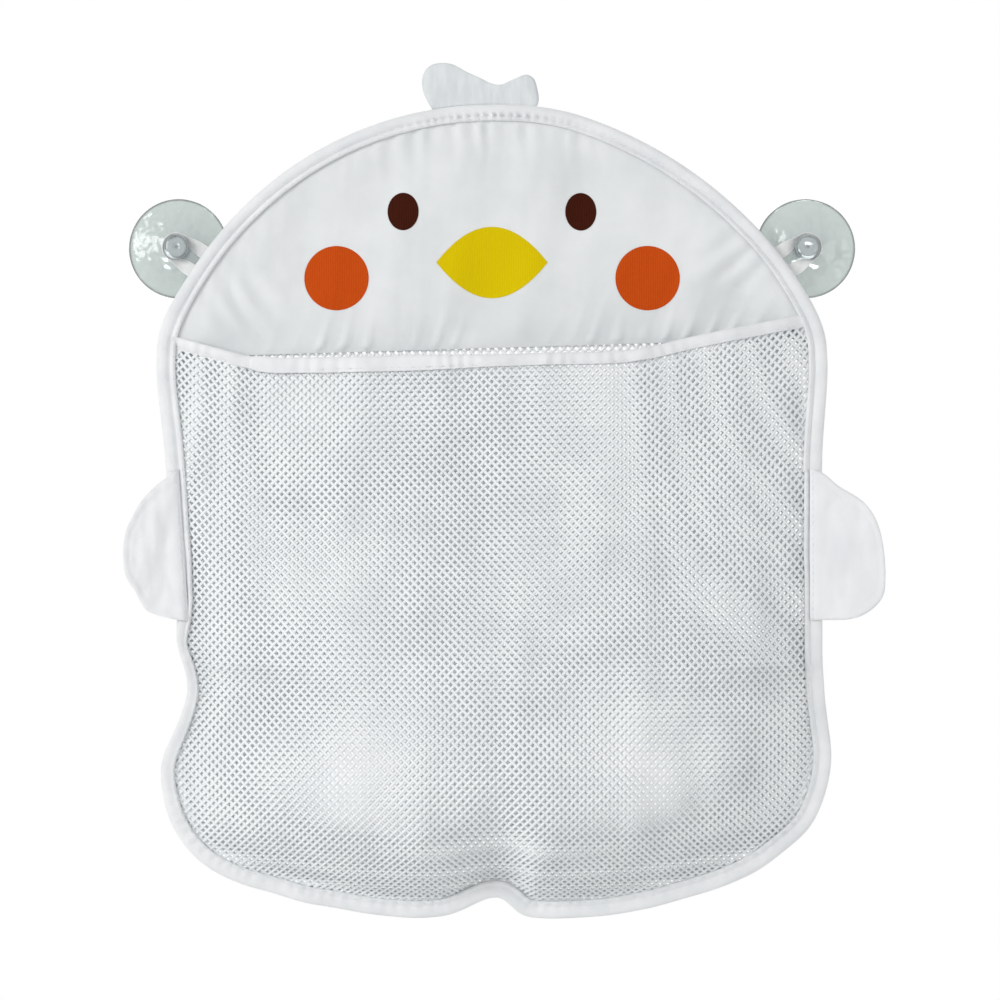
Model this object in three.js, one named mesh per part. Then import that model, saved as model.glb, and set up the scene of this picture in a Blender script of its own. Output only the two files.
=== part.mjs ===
// Bath toy organizer: a chick-shaped net bag that hangs on a wall by two suction cups.
// Millimetres, +Z up. The origin lies midway between the cups on the wall plane Y = 0.
// The bag hangs in front of the wall, so its front faces -Y.
import * as THREE from 'three';

// Suction cups, moulded in one piece with a nub, and the ribbon loops round their necks
const CUP_ANGLE = 33.65;
const CUP_RADIUS = 22.5;
const CUP_RIM_WIDTH = 2;
const CUP_RIM_THICKNESS = 0.9;
const CUP_DISC_HEIGHT = 7.2;
const CUP_HOLLOW_DEPTH = 2.8;
const CUP_SIDES = 28;
const NECK_RADIUS = 4;
const NECK_LENGTH = 4;
const NUB_RADIUS = 5.5;
const NUB_HEIGHT = 4.2;
const DIMPLE_RADIUS = 1.3;
const DIMPLE_DEPTH = 0.6;
const RIBBON_THICKNESS = 1.2;
const RIBBON_STRAND = 2.3;
const LOOP_REACH = 12.2;
const LOOP_TAIL = 5;

// Cloth, tape and boning
const CLEARANCE = 0.3;
const PANEL_THICKNESS = 0.9;
const TAPE_THICKNESS = 0.7;
const BINDING_WIDTH = 6.5;
const BONING_RADIUS = 1.1;
const HEM_WIDTH = 6.2;
const HEM_GROOVE_CLEARANCE = 0.35;

// Outline of the bag, seen from the front: a round dome, then a body drawn in or out from the
// shoulders. Drops are measured down from the ends of the dome.
const DOME_RADIUS = 158.4;
const DOME_END_ANGLE = 21.7;
const SHOULDER_SWELL = 3.8;
const SHOULDER_DROP = 16;
const SIDE_DRAW_LEFT = 8;
const SIDE_DRAW_RIGHT = 3.2;
const SIDE_DROP = 129;
const WAIST_DRAW_LEFT = 14;
const WAIST_DRAW_RIGHT = 3;
const WAIST_DROP = 163;
const HIP_DRAW = 0.5;
const HIP_DROP = 200;
const HEEL_DRAW = 23;
const HEEL_DROP = 239;
const SOLE_DRAW = 73;
const SOLE_DROP = 260;
const LOBE_HALF = 30;
const LOBE_DROP = 265;
const NOTCH_DROP = 256;

// Seam under the face panel, and the mouth of the pocket in front of it
const SEAM_LEFT_DROP = 14;
const SEAM_RIGHT_DROP = 5;
const HEM_LEFT_DROP = 8.5;
const HEM_RIGHT_DROP = 1;
const HEM_SAG = 11.8;
const MOUTH_DEPTH = 11;
const BELLY_DEPTH = 42;
const BELLY_SHARE = 0.26;
const BELLY_ROUNDNESS = 2.2;
const WIDTH_ROUNDNESS = 2.5;
const NET_COLUMNS = 9;
const NET_ROWS = 7;
const NET_KNOT_HALF = 1.7;
const NET_THICKNESS = 0.9;

// Flaps
const WING_TOP_DROP = 65;
const WING_BOTTOM_DROP = 132;
const WING_REACH_LEFT = 25;
const WING_REACH_RIGHT = 31.5;
const WING_THICKNESS = 1.2;
const WING_NET_GAP = 0.6;
const TUFT_LEFT = -28;
const TUFT_LEAN = 3.5;
const TUFT_RIGHT = 20.7;
const TUFT_TALL_X = -23;
const TUFT_TALL_HEIGHT = 19;
const TUFT_DIP_X = 2.7;
const TUFT_DIP_HEIGHT = 9.2;
const TUFT_SHORT_X = 15.5;
const TUFT_SHORT_HEIGHT = 13.7;
const TUFT_THICKNESS = 1.6;

// Printed face: film patches on the face panel, placed above the dome's centre
const PRINT_THICKNESS = 0.2;
const PRINT_GAP = 0.1;
const BEAK_HALF_WIDTH = 25;
const BEAK_HALF_HEIGHT = 16;
const BEAK_RISE = 87.5;
const EYE_X = 40;
const EYE_RISE = 110.5;
const EYE_HALF_WIDTH = 7;
const EYE_HALF_HEIGHT = 8.5;
const CHEEK_X = 70;
const CHEEK_RISE = 80.5;
const CHEEK_RADIUS = 14.5;

// Places of the cups and of the dome: each cup lies straight out from the dome's edge
const radians = (degrees) => degrees * Math.PI / 180;
const cupDistance = DOME_RADIUS + LOOP_REACH;
const cupHalfSpacing = cupDistance * Math.cos(radians(CUP_ANGLE));
const domeCentreZ = -cupDistance * Math.sin(radians(CUP_ANGLE));
const domeEndAngle = radians(DOME_END_ANGLE);
const domeEndHalf = DOME_RADIUS * Math.cos(domeEndAngle);
const shoulderHalf = domeEndHalf + SHOULDER_SWELL;
const belowDome = (drop) => domeCentreZ + DOME_RADIUS * Math.sin(domeEndAngle) - drop;

// Layers in depth, worked out from the cups forward to the bag
const ribbonY = -(CUP_DISC_HEIGHT + NECK_LENGTH / 2);
const grooveHalf = PANEL_THICKNESS / 2 + CLEARANCE;
const flangeHalf = grooveHalf + TAPE_THICKNESS;
const channelRadius = Math.max(BONING_RADIUS + CLEARANCE, grooveHalf);
const bulbRadius = channelRadius + TAPE_THICKNESS;
const bagY = ribbonY - RIBBON_THICKNESS / 2 - CLEARANCE - bulbRadius;
const hemGrooveHalf = NET_THICKNESS / 2 + HEM_GROOVE_CLEARANCE;
const hemHalf = hemGrooveHalf + TAPE_THICKNESS;
const frontNetY = bagY - hemHalf - PANEL_THICKNESS / 2 - 2 * CLEARANCE;
const panelInset = bulbRadius + BONING_RADIUS + CLEARANCE;
const frontNetInset = 2 * bulbRadius + CLEARANCE;

// The outline is one smooth closed curve, walked from the right end of the dome over the top
const DOME_STEPS = 12;
const SAMPLES_PER_STATION = 100;
const stationNames = [];
const stationPoints = [];

function addStation(name, x, z) {
  stationNames.push(name);
  stationPoints.push(new THREE.Vector3(x, bagY, z));
}

for (let step = 0; step <= DOME_STEPS; step += 1) {
  const angle = domeEndAngle + (Math.PI - 2 * domeEndAngle) * step / DOME_STEPS;
  const x = DOME_RADIUS * Math.cos(angle);
  addStation(`dome${step}`, x, domeCentreZ + DOME_RADIUS * Math.sin(angle));
}
addStation('leftShoulder', -shoulderHalf, belowDome(SHOULDER_DROP));
addStation('leftSide', SIDE_DRAW_LEFT - shoulderHalf, belowDome(SIDE_DROP));
addStation('leftWaist', WAIST_DRAW_LEFT - shoulderHalf, belowDome(WAIST_DROP));
addStation('leftHip', HIP_DRAW - shoulderHalf, belowDome(HIP_DROP));
addStation('leftHeel', HEEL_DRAW - shoulderHalf, belowDome(HEEL_DROP));
addStation('leftSole', SOLE_DRAW - shoulderHalf, belowDome(SOLE_DROP));
addStation('leftLobe', -LOBE_HALF, belowDome(LOBE_DROP));
addStation('notch', 0, belowDome(NOTCH_DROP));
addStation('rightLobe', LOBE_HALF, belowDome(LOBE_DROP));
addStation('rightSole', shoulderHalf - SOLE_DRAW, belowDome(SOLE_DROP));
addStation('rightHeel', shoulderHalf - HEEL_DRAW, belowDome(HEEL_DROP));
addStation('rightHip', shoulderHalf - HIP_DRAW, belowDome(HIP_DROP));
addStation('rightWaist', shoulderHalf - WAIST_DRAW_RIGHT, belowDome(WAIST_DROP));
addStation('rightSide', shoulderHalf - SIDE_DRAW_RIGHT, belowDome(SIDE_DROP));
addStation('rightShoulder', shoulderHalf, belowDome(SHOULDER_DROP));

const outline = new THREE.CatmullRomCurve3(stationPoints, true, 'centripetal');
outline.arcLengthDivisions = stationPoints.length * SAMPLES_PER_STATION;
const outlineLengths = outline.getLengths();
const outlineLength = outline.getLength();

// Distance along the outline, in millimetres, of a named station
function stationDistance(name) {
  return outlineLengths[stationNames.indexOf(name) * SAMPLES_PER_STATION];
}

// Point of the outline at a distance, moved inwards by an inset, with its outward direction
function outlineAt(distance, inset = 0) {
  const share = (along) => ((along / outlineLength) % 1 + 1) % 1;
  const reach = 0.5;
  const before = outline.getPointAt(share(distance - reach));
  const after = outline.getPointAt(share(distance + reach));
  const tangent = after.sub(before).normalize();
  const outward = new THREE.Vector3(tangent.z, 0, -tangent.x);
  const point = outline.getPointAt(share(distance)).addScaledVector(outward, -inset);
  return { point, outward };
}

// Distance at which the outline, inset, passes a height between two distances of one side
function distanceAtHeight(upper, lower, height, inset) {
  let above = upper;
  let below = lower;
  for (let round = 0; round < 40; round += 1) {
    const middle = (above + below) / 2;
    if (outlineAt(middle, inset).point.z > height) {
      above = middle;
    } else {
      below = middle;
    }
  }
  return (above + below) / 2;
}

function leftDistance(height, inset) {
  const domeEnd = stationDistance(`dome${DOME_STEPS}`);
  return distanceAtHeight(domeEnd, stationDistance('leftWaist'), height, inset);
}

function rightDistance(height, inset) {
  const domeEnd = stationDistance('dome0') + outlineLength;
  return distanceAtHeight(domeEnd, stationDistance('rightWaist'), height, inset);
}

// Turns vertex and triangle lists into a geometry whose faces point outwards
function closedGeometry(points, triangles) {
  let volume = 0;
  for (const [a, b, c] of triangles) {
    const side = new THREE.Vector3().crossVectors(points[b], points[c]);
    volume += points[a].dot(side);
  }
  const faces = volume < 0 ? triangles.map(([a, b, c]) => [a, c, b]) : triangles;
  const geometry = new THREE.BufferGeometry();
  geometry.setFromPoints(points);
  geometry.setIndex(faces.flat());
  geometry.computeVertexNormals();
  return geometry;
}

// Sweeps a closed section along a row of frames and caps both ends.
// A section point [u, v] lies u along a frame's outward and v along its sideways direction.
function sweep(section, frames) {
  const points = [];
  const triangles = [];
  const flat = section.map(([u, v]) => new THREE.Vector2(u, v));
  if (THREE.ShapeUtils.isClockWise(flat)) {
    flat.reverse();
  }
  const count = flat.length;
  for (const { point, outward, sideways } of frames) {
    for (const { x, y } of flat) {
      points.push(point.clone().addScaledVector(outward, x).addScaledVector(sideways, y));
    }
  }
  for (let ring = 0; ring + 1 < frames.length; ring += 1) {
    for (let k = 0; k < count; k += 1) {
      const a = ring * count + k;
      const b = ring * count + (k + 1) % count;
      triangles.push([a, b, b + count]);
      triangles.push([a, b + count, a + count]);
    }
  }
  const last = (frames.length - 1) * count;
  for (const [a, b, c] of THREE.ShapeUtils.triangulateShape(flat, [])) {
    triangles.push([a, c, b]);
    triangles.push([last + a, last + b, last + c]);
  }
  return closedGeometry(points, triangles);
}

// Frames along the outline between two distances, with the section's v towards the front
function outlineFrames(from, to, steps) {
  const towardsFront = new THREE.Vector3(0, -1, 0);
  return Array.from({ length: steps + 1 }, (_, k) => {
    const { point, outward } = outlineAt(from + (to - from) * k / steps);
    return { point, outward, sideways: towardsFront };
  });
}

// A flat plate cut to a shape drawn in X and Z, with its back face at a given Y
function plate(shape, thickness, backY, curveSegments = 12) {
  const options = { depth: thickness, bevelEnabled: false, curveSegments };
  const geometry = new THREE.ExtrudeGeometry(shape, options);
  geometry.rotateX(Math.PI / 2);
  geometry.translate(0, backY, 0);
  return geometry;
}

// Points of the inset outline between two distances, for drawing a panel's edge
function insetPoints(from, to, inset, steps) {
  return Array.from({ length: steps + 1 }, (_, k) => {
    const { point } = outlineAt(from + (to - from) * k / steps, inset);
    return new THREE.Vector2(point.x, point.z);
  });
}

// Upper binding: tape folded over the panel's edge, round where it holds the boning
function upperBindingSection() {
  const outerAngle = Math.PI - Math.asin(flangeHalf / bulbRadius);
  const innerAngle = Math.PI - Math.asin(grooveHalf / channelRadius);
  const bulb = (radius, angle) => [radius * Math.cos(angle) - bulbRadius, radius * Math.sin(angle)];
  const section = [[-BINDING_WIDTH, grooveHalf], [-BINDING_WIDTH, flangeHalf]];
  const outerSteps = 6;
  for (let k = 0; k <= outerSteps; k += 1) {
    section.push(bulb(bulbRadius, outerAngle - 2 * outerAngle * k / outerSteps));
  }
  section.push([-BINDING_WIDTH, -flangeHalf], [-BINDING_WIDTH, -grooveHalf]);
  const innerSteps = 5;
  for (let k = 0; k <= innerSteps; k += 1) {
    section.push(bulb(channelRadius, -innerAngle + 2 * innerAngle * k / innerSteps));
  }
  return section;
}

// Lower binding: the same tape without boning, folded flat with a blunt outer edge
function lowerBindingSection() {
  const bevel = TAPE_THICKNESS;
  return [
    [-BINDING_WIDTH, grooveHalf],
    [-BINDING_WIDTH, flangeHalf],
    [-bevel, flangeHalf],
    [0, flangeHalf - bevel],
    [0, bevel - flangeHalf],
    [-bevel, -flangeHalf],
    [-BINDING_WIDTH, -flangeHalf],
    [-BINDING_WIDTH, -grooveHalf],
    [-TAPE_THICKNESS, -grooveHalf],
    [-TAPE_THICKNESS, grooveHalf],
  ];
}

const leftSplit = leftDistance(belowDome(WING_TOP_DROP), 0);
const rightSplit = rightDistance(belowDome(WING_TOP_DROP), 0);

function upperBinding() {
  return sweep(upperBindingSection(), outlineFrames(rightSplit - outlineLength, leftSplit, 44));
}

function lowerBinding() {
  const frames = outlineFrames(leftSplit + CLEARANCE, rightSplit - CLEARANCE, 66);
  return sweep(lowerBindingSection(), frames);
}

// Boning: a springy rod inside the round part of the upper binding
function boning() {
  const sides = 7;
  const section = Array.from({ length: sides }, (_, k) => {
    const angle = 2 * Math.PI * k / sides;
    return [BONING_RADIUS * Math.cos(angle) - bulbRadius, BONING_RADIUS * Math.sin(angle)];
  });
  return sweep(section, outlineFrames(rightSplit - outlineLength, leftSplit, 44));
}

// Face panel: the cloth dome, held in the upper binding down to the seam
function facePanel() {
  const from = rightDistance(belowDome(SEAM_RIGHT_DROP), panelInset) - outlineLength;
  const to = leftDistance(belowDome(SEAM_LEFT_DROP), panelInset);
  const shape = new THREE.Shape(insetPoints(from, to, panelInset, 44));
  return plate(shape, PANEL_THICKNESS, bagY + PANEL_THICKNESS / 2);
}

// A surface spanned between the sides and the bottom of the outline and a top edge.
// Its s runs from the left side to the right, its t from the bottom up to the top edge.
function spannedSurface(inset, leftTop, rightTop, topEdge, depth) {
  const leftHeel = stationDistance('leftHeel');
  const rightHeel = stationDistance('rightHeel');
  const edge = (from, to, share) => outlineAt(from + (to - from) * share, inset).point;
  const corners = [edge(leftHeel, leftHeel, 0), edge(rightHeel, rightHeel, 0), topEdge(0), topEdge(1)];
  return (s, t) => {
    const point = edge(leftHeel, rightHeel, s).multiplyScalar(1 - t);
    point.addScaledVector(topEdge(s), t);
    point.addScaledVector(edge(leftHeel, leftTop, t), 1 - s);
    point.addScaledVector(edge(rightHeel, rightTop, t), s);
    point.addScaledVector(corners[0], -(1 - s) * (1 - t));
    point.addScaledVector(corners[1], -s * (1 - t));
    point.addScaledVector(corners[2], -(1 - s) * t);
    point.addScaledVector(corners[3], -s * t);
    point.y = depth(s, t);
    return point;
  };
}

// A diamond-mesh net on a surface, as one closed solid: each knot is a small diamond,
// each strand joins the facing sides of two knots, and a narrow selvedge frames the whole.
function diamondNet(surface, columns, rows, knotS, knotT, thickness) {
  const front = [];
  const back = [];
  const faces = [];
  const known = new Map();

  function vertex(s, t) {
    const key = `${s.toFixed(6)} ${t.toFixed(6)}`;
    if (!known.has(key)) {
      const step = 1e-3;
      const along = surface(Math.min(s + step, 1), t).sub(surface(Math.max(s - step, 0), t));
      const up = surface(s, Math.min(t + step, 1)).sub(surface(s, Math.max(t - step, 0)));
      const normal = along.cross(up).normalize();
      const middle = surface(s, t);
      known.set(key, front.length);
      front.push(middle.clone().addScaledVector(normal, thickness / 2));
      back.push(middle.clone().addScaledVector(normal, -thickness / 2));
    }
    return known.get(key);
  }

  const knotCentreS = (i) => knotS + (1 - 2 * knotS) * i / (2 * columns);
  const knotCentreT = (j) => knotT + (1 - 2 * knotT) * j / (2 * rows);
  const corner = (i, j, right, up) => vertex(knotCentreS(i) + right * knotS, knotCentreT(j) + up * knotT);
  const left = (i, j) => corner(i, j, -1, 0);
  const right = (i, j) => corner(i, j, 1, 0);
  const top = (i, j) => corner(i, j, 0, 1);
  const bottom = (i, j) => corner(i, j, 0, -1);

  for (let j = 0; j <= 2 * rows; j += 1) {
    for (let i = j % 2; i <= 2 * columns; i += 2) {
      faces.push([left(i, j), bottom(i, j), right(i, j), top(i, j)]);
      if (j < 2 * rows && i < 2 * columns) {
        faces.push([right(i, j), bottom(i + 1, j + 1), left(i + 1, j + 1), top(i, j)]);
      }
      if (j < 2 * rows && i > 0) {
        faces.push([top(i, j), right(i - 1, j + 1), bottom(i - 1, j + 1), left(i, j)]);
      }
    }
  }
  for (let j = 0; j < 2 * rows; j += 2) {
    const t = knotCentreT(j + 1);
    const end = 2 * columns;
    const leftOuter = vertex(0, t);
    const leftInner = vertex(knotS, t);
    const rightOuter = vertex(1, t);
    const rightInner = vertex(1 - knotS, t);
    faces.push([left(0, j), top(0, j), leftInner, leftOuter]);
    faces.push([leftOuter, leftInner, bottom(0, j + 2), left(0, j + 2)]);
    faces.push([top(end, j), right(end, j), rightOuter, rightInner]);
    faces.push([rightInner, rightOuter, right(end, j + 2), bottom(end, j + 2)]);
  }
  for (let i = 0; i < 2 * columns; i += 2) {
    const s = knotCentreS(i + 1);
    const end = 2 * rows;
    const bottomOuter = vertex(s, 0);
    const bottomInner = vertex(s, knotT);
    const topOuter = vertex(s, 1);
    const topInner = vertex(s, 1 - knotT);
    faces.push([bottom(i, 0), bottomOuter, bottomInner, right(i, 0)]);
    faces.push([bottomOuter, bottom(i + 2, 0), left(i + 2, 0), bottomInner]);
    faces.push([right(i, end), topInner, topOuter, top(i, end)]);
    faces.push([topInner, left(i + 2, end), top(i + 2, end), topOuter]);
  }
  return thickened(front, back, faces);
}

// Closes a sheet of quads, given its front and back points, with walls along its free edges
function thickened(front, back, faces) {
  const offset = front.length;
  const triangles = [];
  const edges = new Map();
  for (const [a, b, c, d] of faces) {
    triangles.push([a, b, c], [a, c, d]);
    triangles.push([offset + a, offset + c, offset + b], [offset + a, offset + d, offset + c]);
    for (const [from, to] of [[a, b], [b, c], [c, d], [d, a]]) {
      if (!edges.delete(`${to} ${from}`)) {
        edges.set(`${from} ${to}`, [from, to]);
      }
    }
  }
  for (const [from, to] of edges.values()) {
    triangles.push([to, from, offset + from], [to, offset + from, offset + to]);
  }
  return closedGeometry([...front, ...back], triangles);
}

// Back net: flat, from the seam under the face panel down to the bottom binding
function backNet() {
  const leftTop = leftDistance(belowDome(SEAM_LEFT_DROP + CLEARANCE), panelInset);
  const rightTop = rightDistance(belowDome(SEAM_RIGHT_DROP + CLEARANCE), panelInset);
  const leftEnd = outlineAt(leftTop, panelInset).point;
  const rightEnd = outlineAt(rightTop, panelInset).point;
  const seam = (s) => leftEnd.clone().lerp(rightEnd, s);
  const surface = spannedSurface(panelInset, leftTop, rightTop, seam, () => bagY);
  return netOnSurface(surface);
}

function netOnSurface(surface) {
  const width = surface(1, 0.5).x - surface(0, 0.5).x;
  const height = surface(0.5, 1).z - surface(0.5, 0).z;
  const knotS = NET_KNOT_HALF / width;
  const knotT = NET_KNOT_HALF / height;
  return diamondNet(surface, NET_COLUMNS, NET_ROWS, knotS, knotT, NET_THICKNESS);
}

// Mouth of the pocket: the hem's middle line sags between its two sewn corners
const hemLeft = leftDistance(belowDome(HEM_LEFT_DROP), frontNetInset);
const hemRight = rightDistance(belowDome(HEM_RIGHT_DROP), frontNetInset);
const hemLeftEnd = outlineAt(hemLeft, frontNetInset).point;
const hemRightEnd = outlineAt(hemRight, frontNetInset).point;

// Share of the full depth that the pocket has across its width
function acrossShare(s) {
  return 1 - Math.abs(2 * s - 1) ** WIDTH_ROUNDNESS;
}

// Depth of the pocket up its middle: a steep rise to the belly, then easing back to the mouth
function middleDepth(t) {
  if (t < BELLY_SHARE) {
    return BELLY_DEPTH * (1 - (1 - t / BELLY_SHARE) ** BELLY_ROUNDNESS);
  }
  const ease = 0.5 + 0.5 * Math.cos(Math.PI * (t - BELLY_SHARE) / (1 - BELLY_SHARE));
  return MOUTH_DEPTH + (BELLY_DEPTH - MOUTH_DEPTH) * ease;
}

function pocketY(s, t) {
  return frontNetY - acrossShare(s) * middleDepth(t);
}

function hemLine(s) {
  const point = hemLeftEnd.clone().lerp(hemRightEnd, s);
  point.z -= HEM_SAG * 4 * s * (1 - s);
  point.y = pocketY(s, 1);
  return point;
}

// Front net: the baggy pocket, caught along the sides and bottom, free at the mouth
function frontNet() {
  const rise = HEM_WIDTH / 2 - TAPE_THICKNESS - HEM_GROOVE_CLEARANCE;
  const topEdge = (s) => hemLine(s).add(new THREE.Vector3(0, 0, rise));
  const leftTop = leftDistance(belowDome(HEM_LEFT_DROP - rise), frontNetInset);
  const rightTop = rightDistance(belowDome(HEM_RIGHT_DROP - rise), frontNetInset);
  return netOnSurface(spannedSurface(frontNetInset, leftTop, rightTop, topEdge, pocketY));
}

// Mouth hem: tape folded down over the top edge of the front net
function mouthHem() {
  const half = HEM_WIDTH / 2;
  const crown = half - TAPE_THICKNESS;
  const section = [
    [-half, hemGrooveHalf],
    [-half, hemHalf],
    [crown, hemHalf],
    [half, hemGrooveHalf],
    [half, -hemGrooveHalf],
    [crown, -hemHalf],
    [-half, -hemHalf],
    [-half, -hemGrooveHalf],
    [crown, -hemGrooveHalf],
    [crown, hemGrooveHalf],
  ];
  const steps = 36;
  const span = hemRightEnd.x - hemLeftEnd.x;
  const margin = (BINDING_WIDTH - frontNetInset + 4 * CLEARANCE) / span;
  const frames = Array.from({ length: steps + 1 }, (_, k) => {
    const s = margin + (1 - 2 * margin) * k / steps;
    const reach = 1e-3;
    const tangent = hemLine(s + reach).sub(hemLine(s - reach)).normalize();
    const outward = new THREE.Vector3(0, 0, 1).projectOnPlane(tangent).normalize();
    return { point: hemLine(s), outward, sideways: tangent.clone().cross(outward) };
  });
  return sweep(section, frames);
}

// Wings: flaps of doubled cloth lying over the binding, sewn along their inner edge.
// The outline is drawn in shares of the reach and of the half height, from the root outwards.
function wing(distanceOf, side, reach) {
  const inset = frontNetInset - WING_NET_GAP;
  const top = outlineAt(distanceOf(belowDome(WING_TOP_DROP + CLEARANCE), inset), inset).point;
  const bottom = outlineAt(distanceOf(belowDome(WING_BOTTOM_DROP), inset), inset).point;
  const halfHeight = (top.z - bottom.z) / 2;
  const middleZ = (top.z + bottom.z) / 2;
  const rootX = (share) => (top.x + bottom.x) / 2 + (top.x - bottom.x) / 2 * share;
  const profile = [[0, 1], [0.52, 0.72], [0.92, 0.08], [1, -0.4], [0.8, -0.86], [0.38, -1], [0, -1]];
  const rim = profile.map(([out, up]) => {
    return new THREE.Vector2(rootX(up) + side * reach * out, middleZ + halfHeight * up);
  });
  const shape = new THREE.Shape(new THREE.SplineCurve(rim).getPoints(26));
  return plate(shape, WING_THICKNESS, bagY - flangeHalf - CLEARANCE);
}

// Tuft: a stiff two-lobed crest standing on the top of the dome
function tuft() {
  const base = DOME_RADIUS + CLEARANCE;
  const crest = domeCentreZ + DOME_RADIUS;
  const baseZ = (x) => domeCentreZ + Math.sqrt(base * base - x * x);
  const lobes = new THREE.SplineCurve([
    new THREE.Vector2(TUFT_RIGHT, baseZ(TUFT_RIGHT)),
    new THREE.Vector2(TUFT_RIGHT, crest + TUFT_SHORT_HEIGHT * 0.6),
    new THREE.Vector2(TUFT_SHORT_X, crest + TUFT_SHORT_HEIGHT),
    new THREE.Vector2(TUFT_DIP_X, crest + TUFT_DIP_HEIGHT),
    new THREE.Vector2(TUFT_TALL_X / 2, crest + TUFT_TALL_HEIGHT * 0.8),
    new THREE.Vector2(TUFT_TALL_X, crest + TUFT_TALL_HEIGHT),
    new THREE.Vector2(TUFT_LEFT - TUFT_LEAN, crest + TUFT_TALL_HEIGHT * 0.6),
    new THREE.Vector2(TUFT_LEFT, baseZ(TUFT_LEFT)),
  ]);
  const rim = lobes.getPoints(32);
  const steps = 12;
  for (let k = 1; k < steps; k += 1) {
    const x = TUFT_LEFT + (TUFT_RIGHT - TUFT_LEFT) * k / steps;
    rim.push(new THREE.Vector2(x, baseZ(x)));
  }
  return plate(new THREE.Shape(rim), TUFT_THICKNESS, bagY + TUFT_THICKNESS / 2);
}

// Ribbon loop: sewn behind the upper binding, it runs out to the cup and round its neck
function ribbonLoop(side) {
  const hole = NECK_RADIUS + CLEARANCE;
  const outer = hole + RIBBON_STRAND;
  const length = LOOP_REACH + LOOP_TAIL;
  const centre = new THREE.Vector2(side * cupHalfSpacing, 0);
  const inward = new THREE.Vector2(0, domeCentreZ).sub(centre);
  const heading = inward.angle();
  inward.normalize();
  const across = new THREE.Vector2(-inward.y, inward.x);
  const tailEnd = centre.clone().addScaledVector(inward, length);
  const shape = new THREE.Shape();
  shape.absarc(centre.x, centre.y, outer, heading + Math.PI / 2, heading - Math.PI / 2, false);
  const near = tailEnd.clone().addScaledVector(across, -outer);
  const far = tailEnd.clone().addScaledVector(across, outer);
  shape.lineTo(near.x, near.y);
  shape.lineTo(far.x, far.y);
  shape.closePath();
  const opening = new THREE.Path();
  opening.absarc(centre.x, centre.y, hole, 0, 2 * Math.PI, true);
  shape.holes.push(opening);
  return plate(shape, RIBBON_THICKNESS, ribbonY + RIBBON_THICKNESS / 2, 18);
}

// Suction cup: a thin disc with a hollow face on the wall, a neck and a rounded nub.
// The profile is drawn as radius and distance from the wall.
function suctionCup(side) {
  const rimInner = CUP_RADIUS - CUP_RIM_WIDTH;
  const neckEnd = CUP_DISC_HEIGHT + NECK_LENGTH;
  const nubEnd = neckEnd + NUB_HEIGHT;
  const profile = [[0, CUP_HOLLOW_DEPTH]];
  for (const share of [0.35, 0.65, 0.85]) {
    profile.push([rimInner * share, CUP_HOLLOW_DEPTH * (1 - share * share)]);
  }
  profile.push([rimInner, 0]);
  profile.push([CUP_RADIUS, 0]);
  profile.push([CUP_RADIUS, CUP_RIM_THICKNESS]);
  const rise = CUP_DISC_HEIGHT - CUP_RIM_THICKNESS;
  for (const share of [0.3, 0.6, 0.85]) {
    const radius = CUP_RADIUS + (NECK_RADIUS - CUP_RADIUS) * share;
    profile.push([radius, CUP_RIM_THICKNESS + rise * share ** 1.3]);
  }
  profile.push([NECK_RADIUS, CUP_DISC_HEIGHT]);
  profile.push([NECK_RADIUS, neckEnd]);
  profile.push([NUB_RADIUS, neckEnd + NUB_HEIGHT * 0.2]);
  profile.push([NUB_RADIUS, neckEnd + NUB_HEIGHT * 0.6]);
  profile.push([NUB_RADIUS * 0.8, neckEnd + NUB_HEIGHT * 0.9]);
  profile.push([(NUB_RADIUS + DIMPLE_RADIUS) / 2, nubEnd]);
  profile.push([DIMPLE_RADIUS, nubEnd]);
  profile.push([0, nubEnd - DIMPLE_DEPTH]);
  const points = [];
  const triangles = [];
  const rings = profile.map(([radius, height]) => {
    const count = radius === 0 ? 1 : CUP_SIDES;
    const ring = [];
    for (let k = 0; k < count; k += 1) {
      const angle = 2 * Math.PI * k / CUP_SIDES;
      const x = side * cupHalfSpacing + radius * Math.cos(angle);
      ring.push(points.length);
      points.push(new THREE.Vector3(x, -height, radius * Math.sin(angle)));
    }
    return ring;
  });
  for (let k = 0; k + 1 < rings.length; k += 1) {
    for (let n = 0; n < CUP_SIDES; n += 1) {
      const next = (n + 1) % CUP_SIDES;
      const inner = (list, index) => list[index % list.length];
      const quad = [inner(rings[k], n), inner(rings[k], next)];
      quad.push(inner(rings[k + 1], next), inner(rings[k + 1], n));
      if (quad[0] !== quad[1]) {
        triangles.push([quad[0], quad[1], quad[2]]);
      }
      if (quad[2] !== quad[3]) {
        triangles.push([quad[0], quad[2], quad[3]]);
      }
    }
  }
  return closedGeometry(points, triangles);
}

// Printed patches: round film shapes lying on the front of the face panel
const printBackY = bagY - PANEL_THICKNESS / 2 - PRINT_GAP;

function roundPrint(x, rise, halfWidth, halfHeight) {
  const shape = new THREE.Shape();
  shape.absellipse(x, domeCentreZ + rise, halfWidth, halfHeight, 0, 2 * Math.PI, false, 0);
  return plate(shape, PRINT_THICKNESS, printBackY);
}

function beakPrint() {
  const shape = new THREE.Shape();
  const bow = 2 * BEAK_HALF_HEIGHT;
  const middle = domeCentreZ + BEAK_RISE;
  shape.moveTo(-BEAK_HALF_WIDTH, middle);
  shape.quadraticCurveTo(0, middle - bow, BEAK_HALF_WIDTH, middle);
  shape.quadraticCurveTo(0, middle + bow, -BEAK_HALF_WIDTH, middle);
  return plate(shape, PRINT_THICKNESS, printBackY);
}

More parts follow.
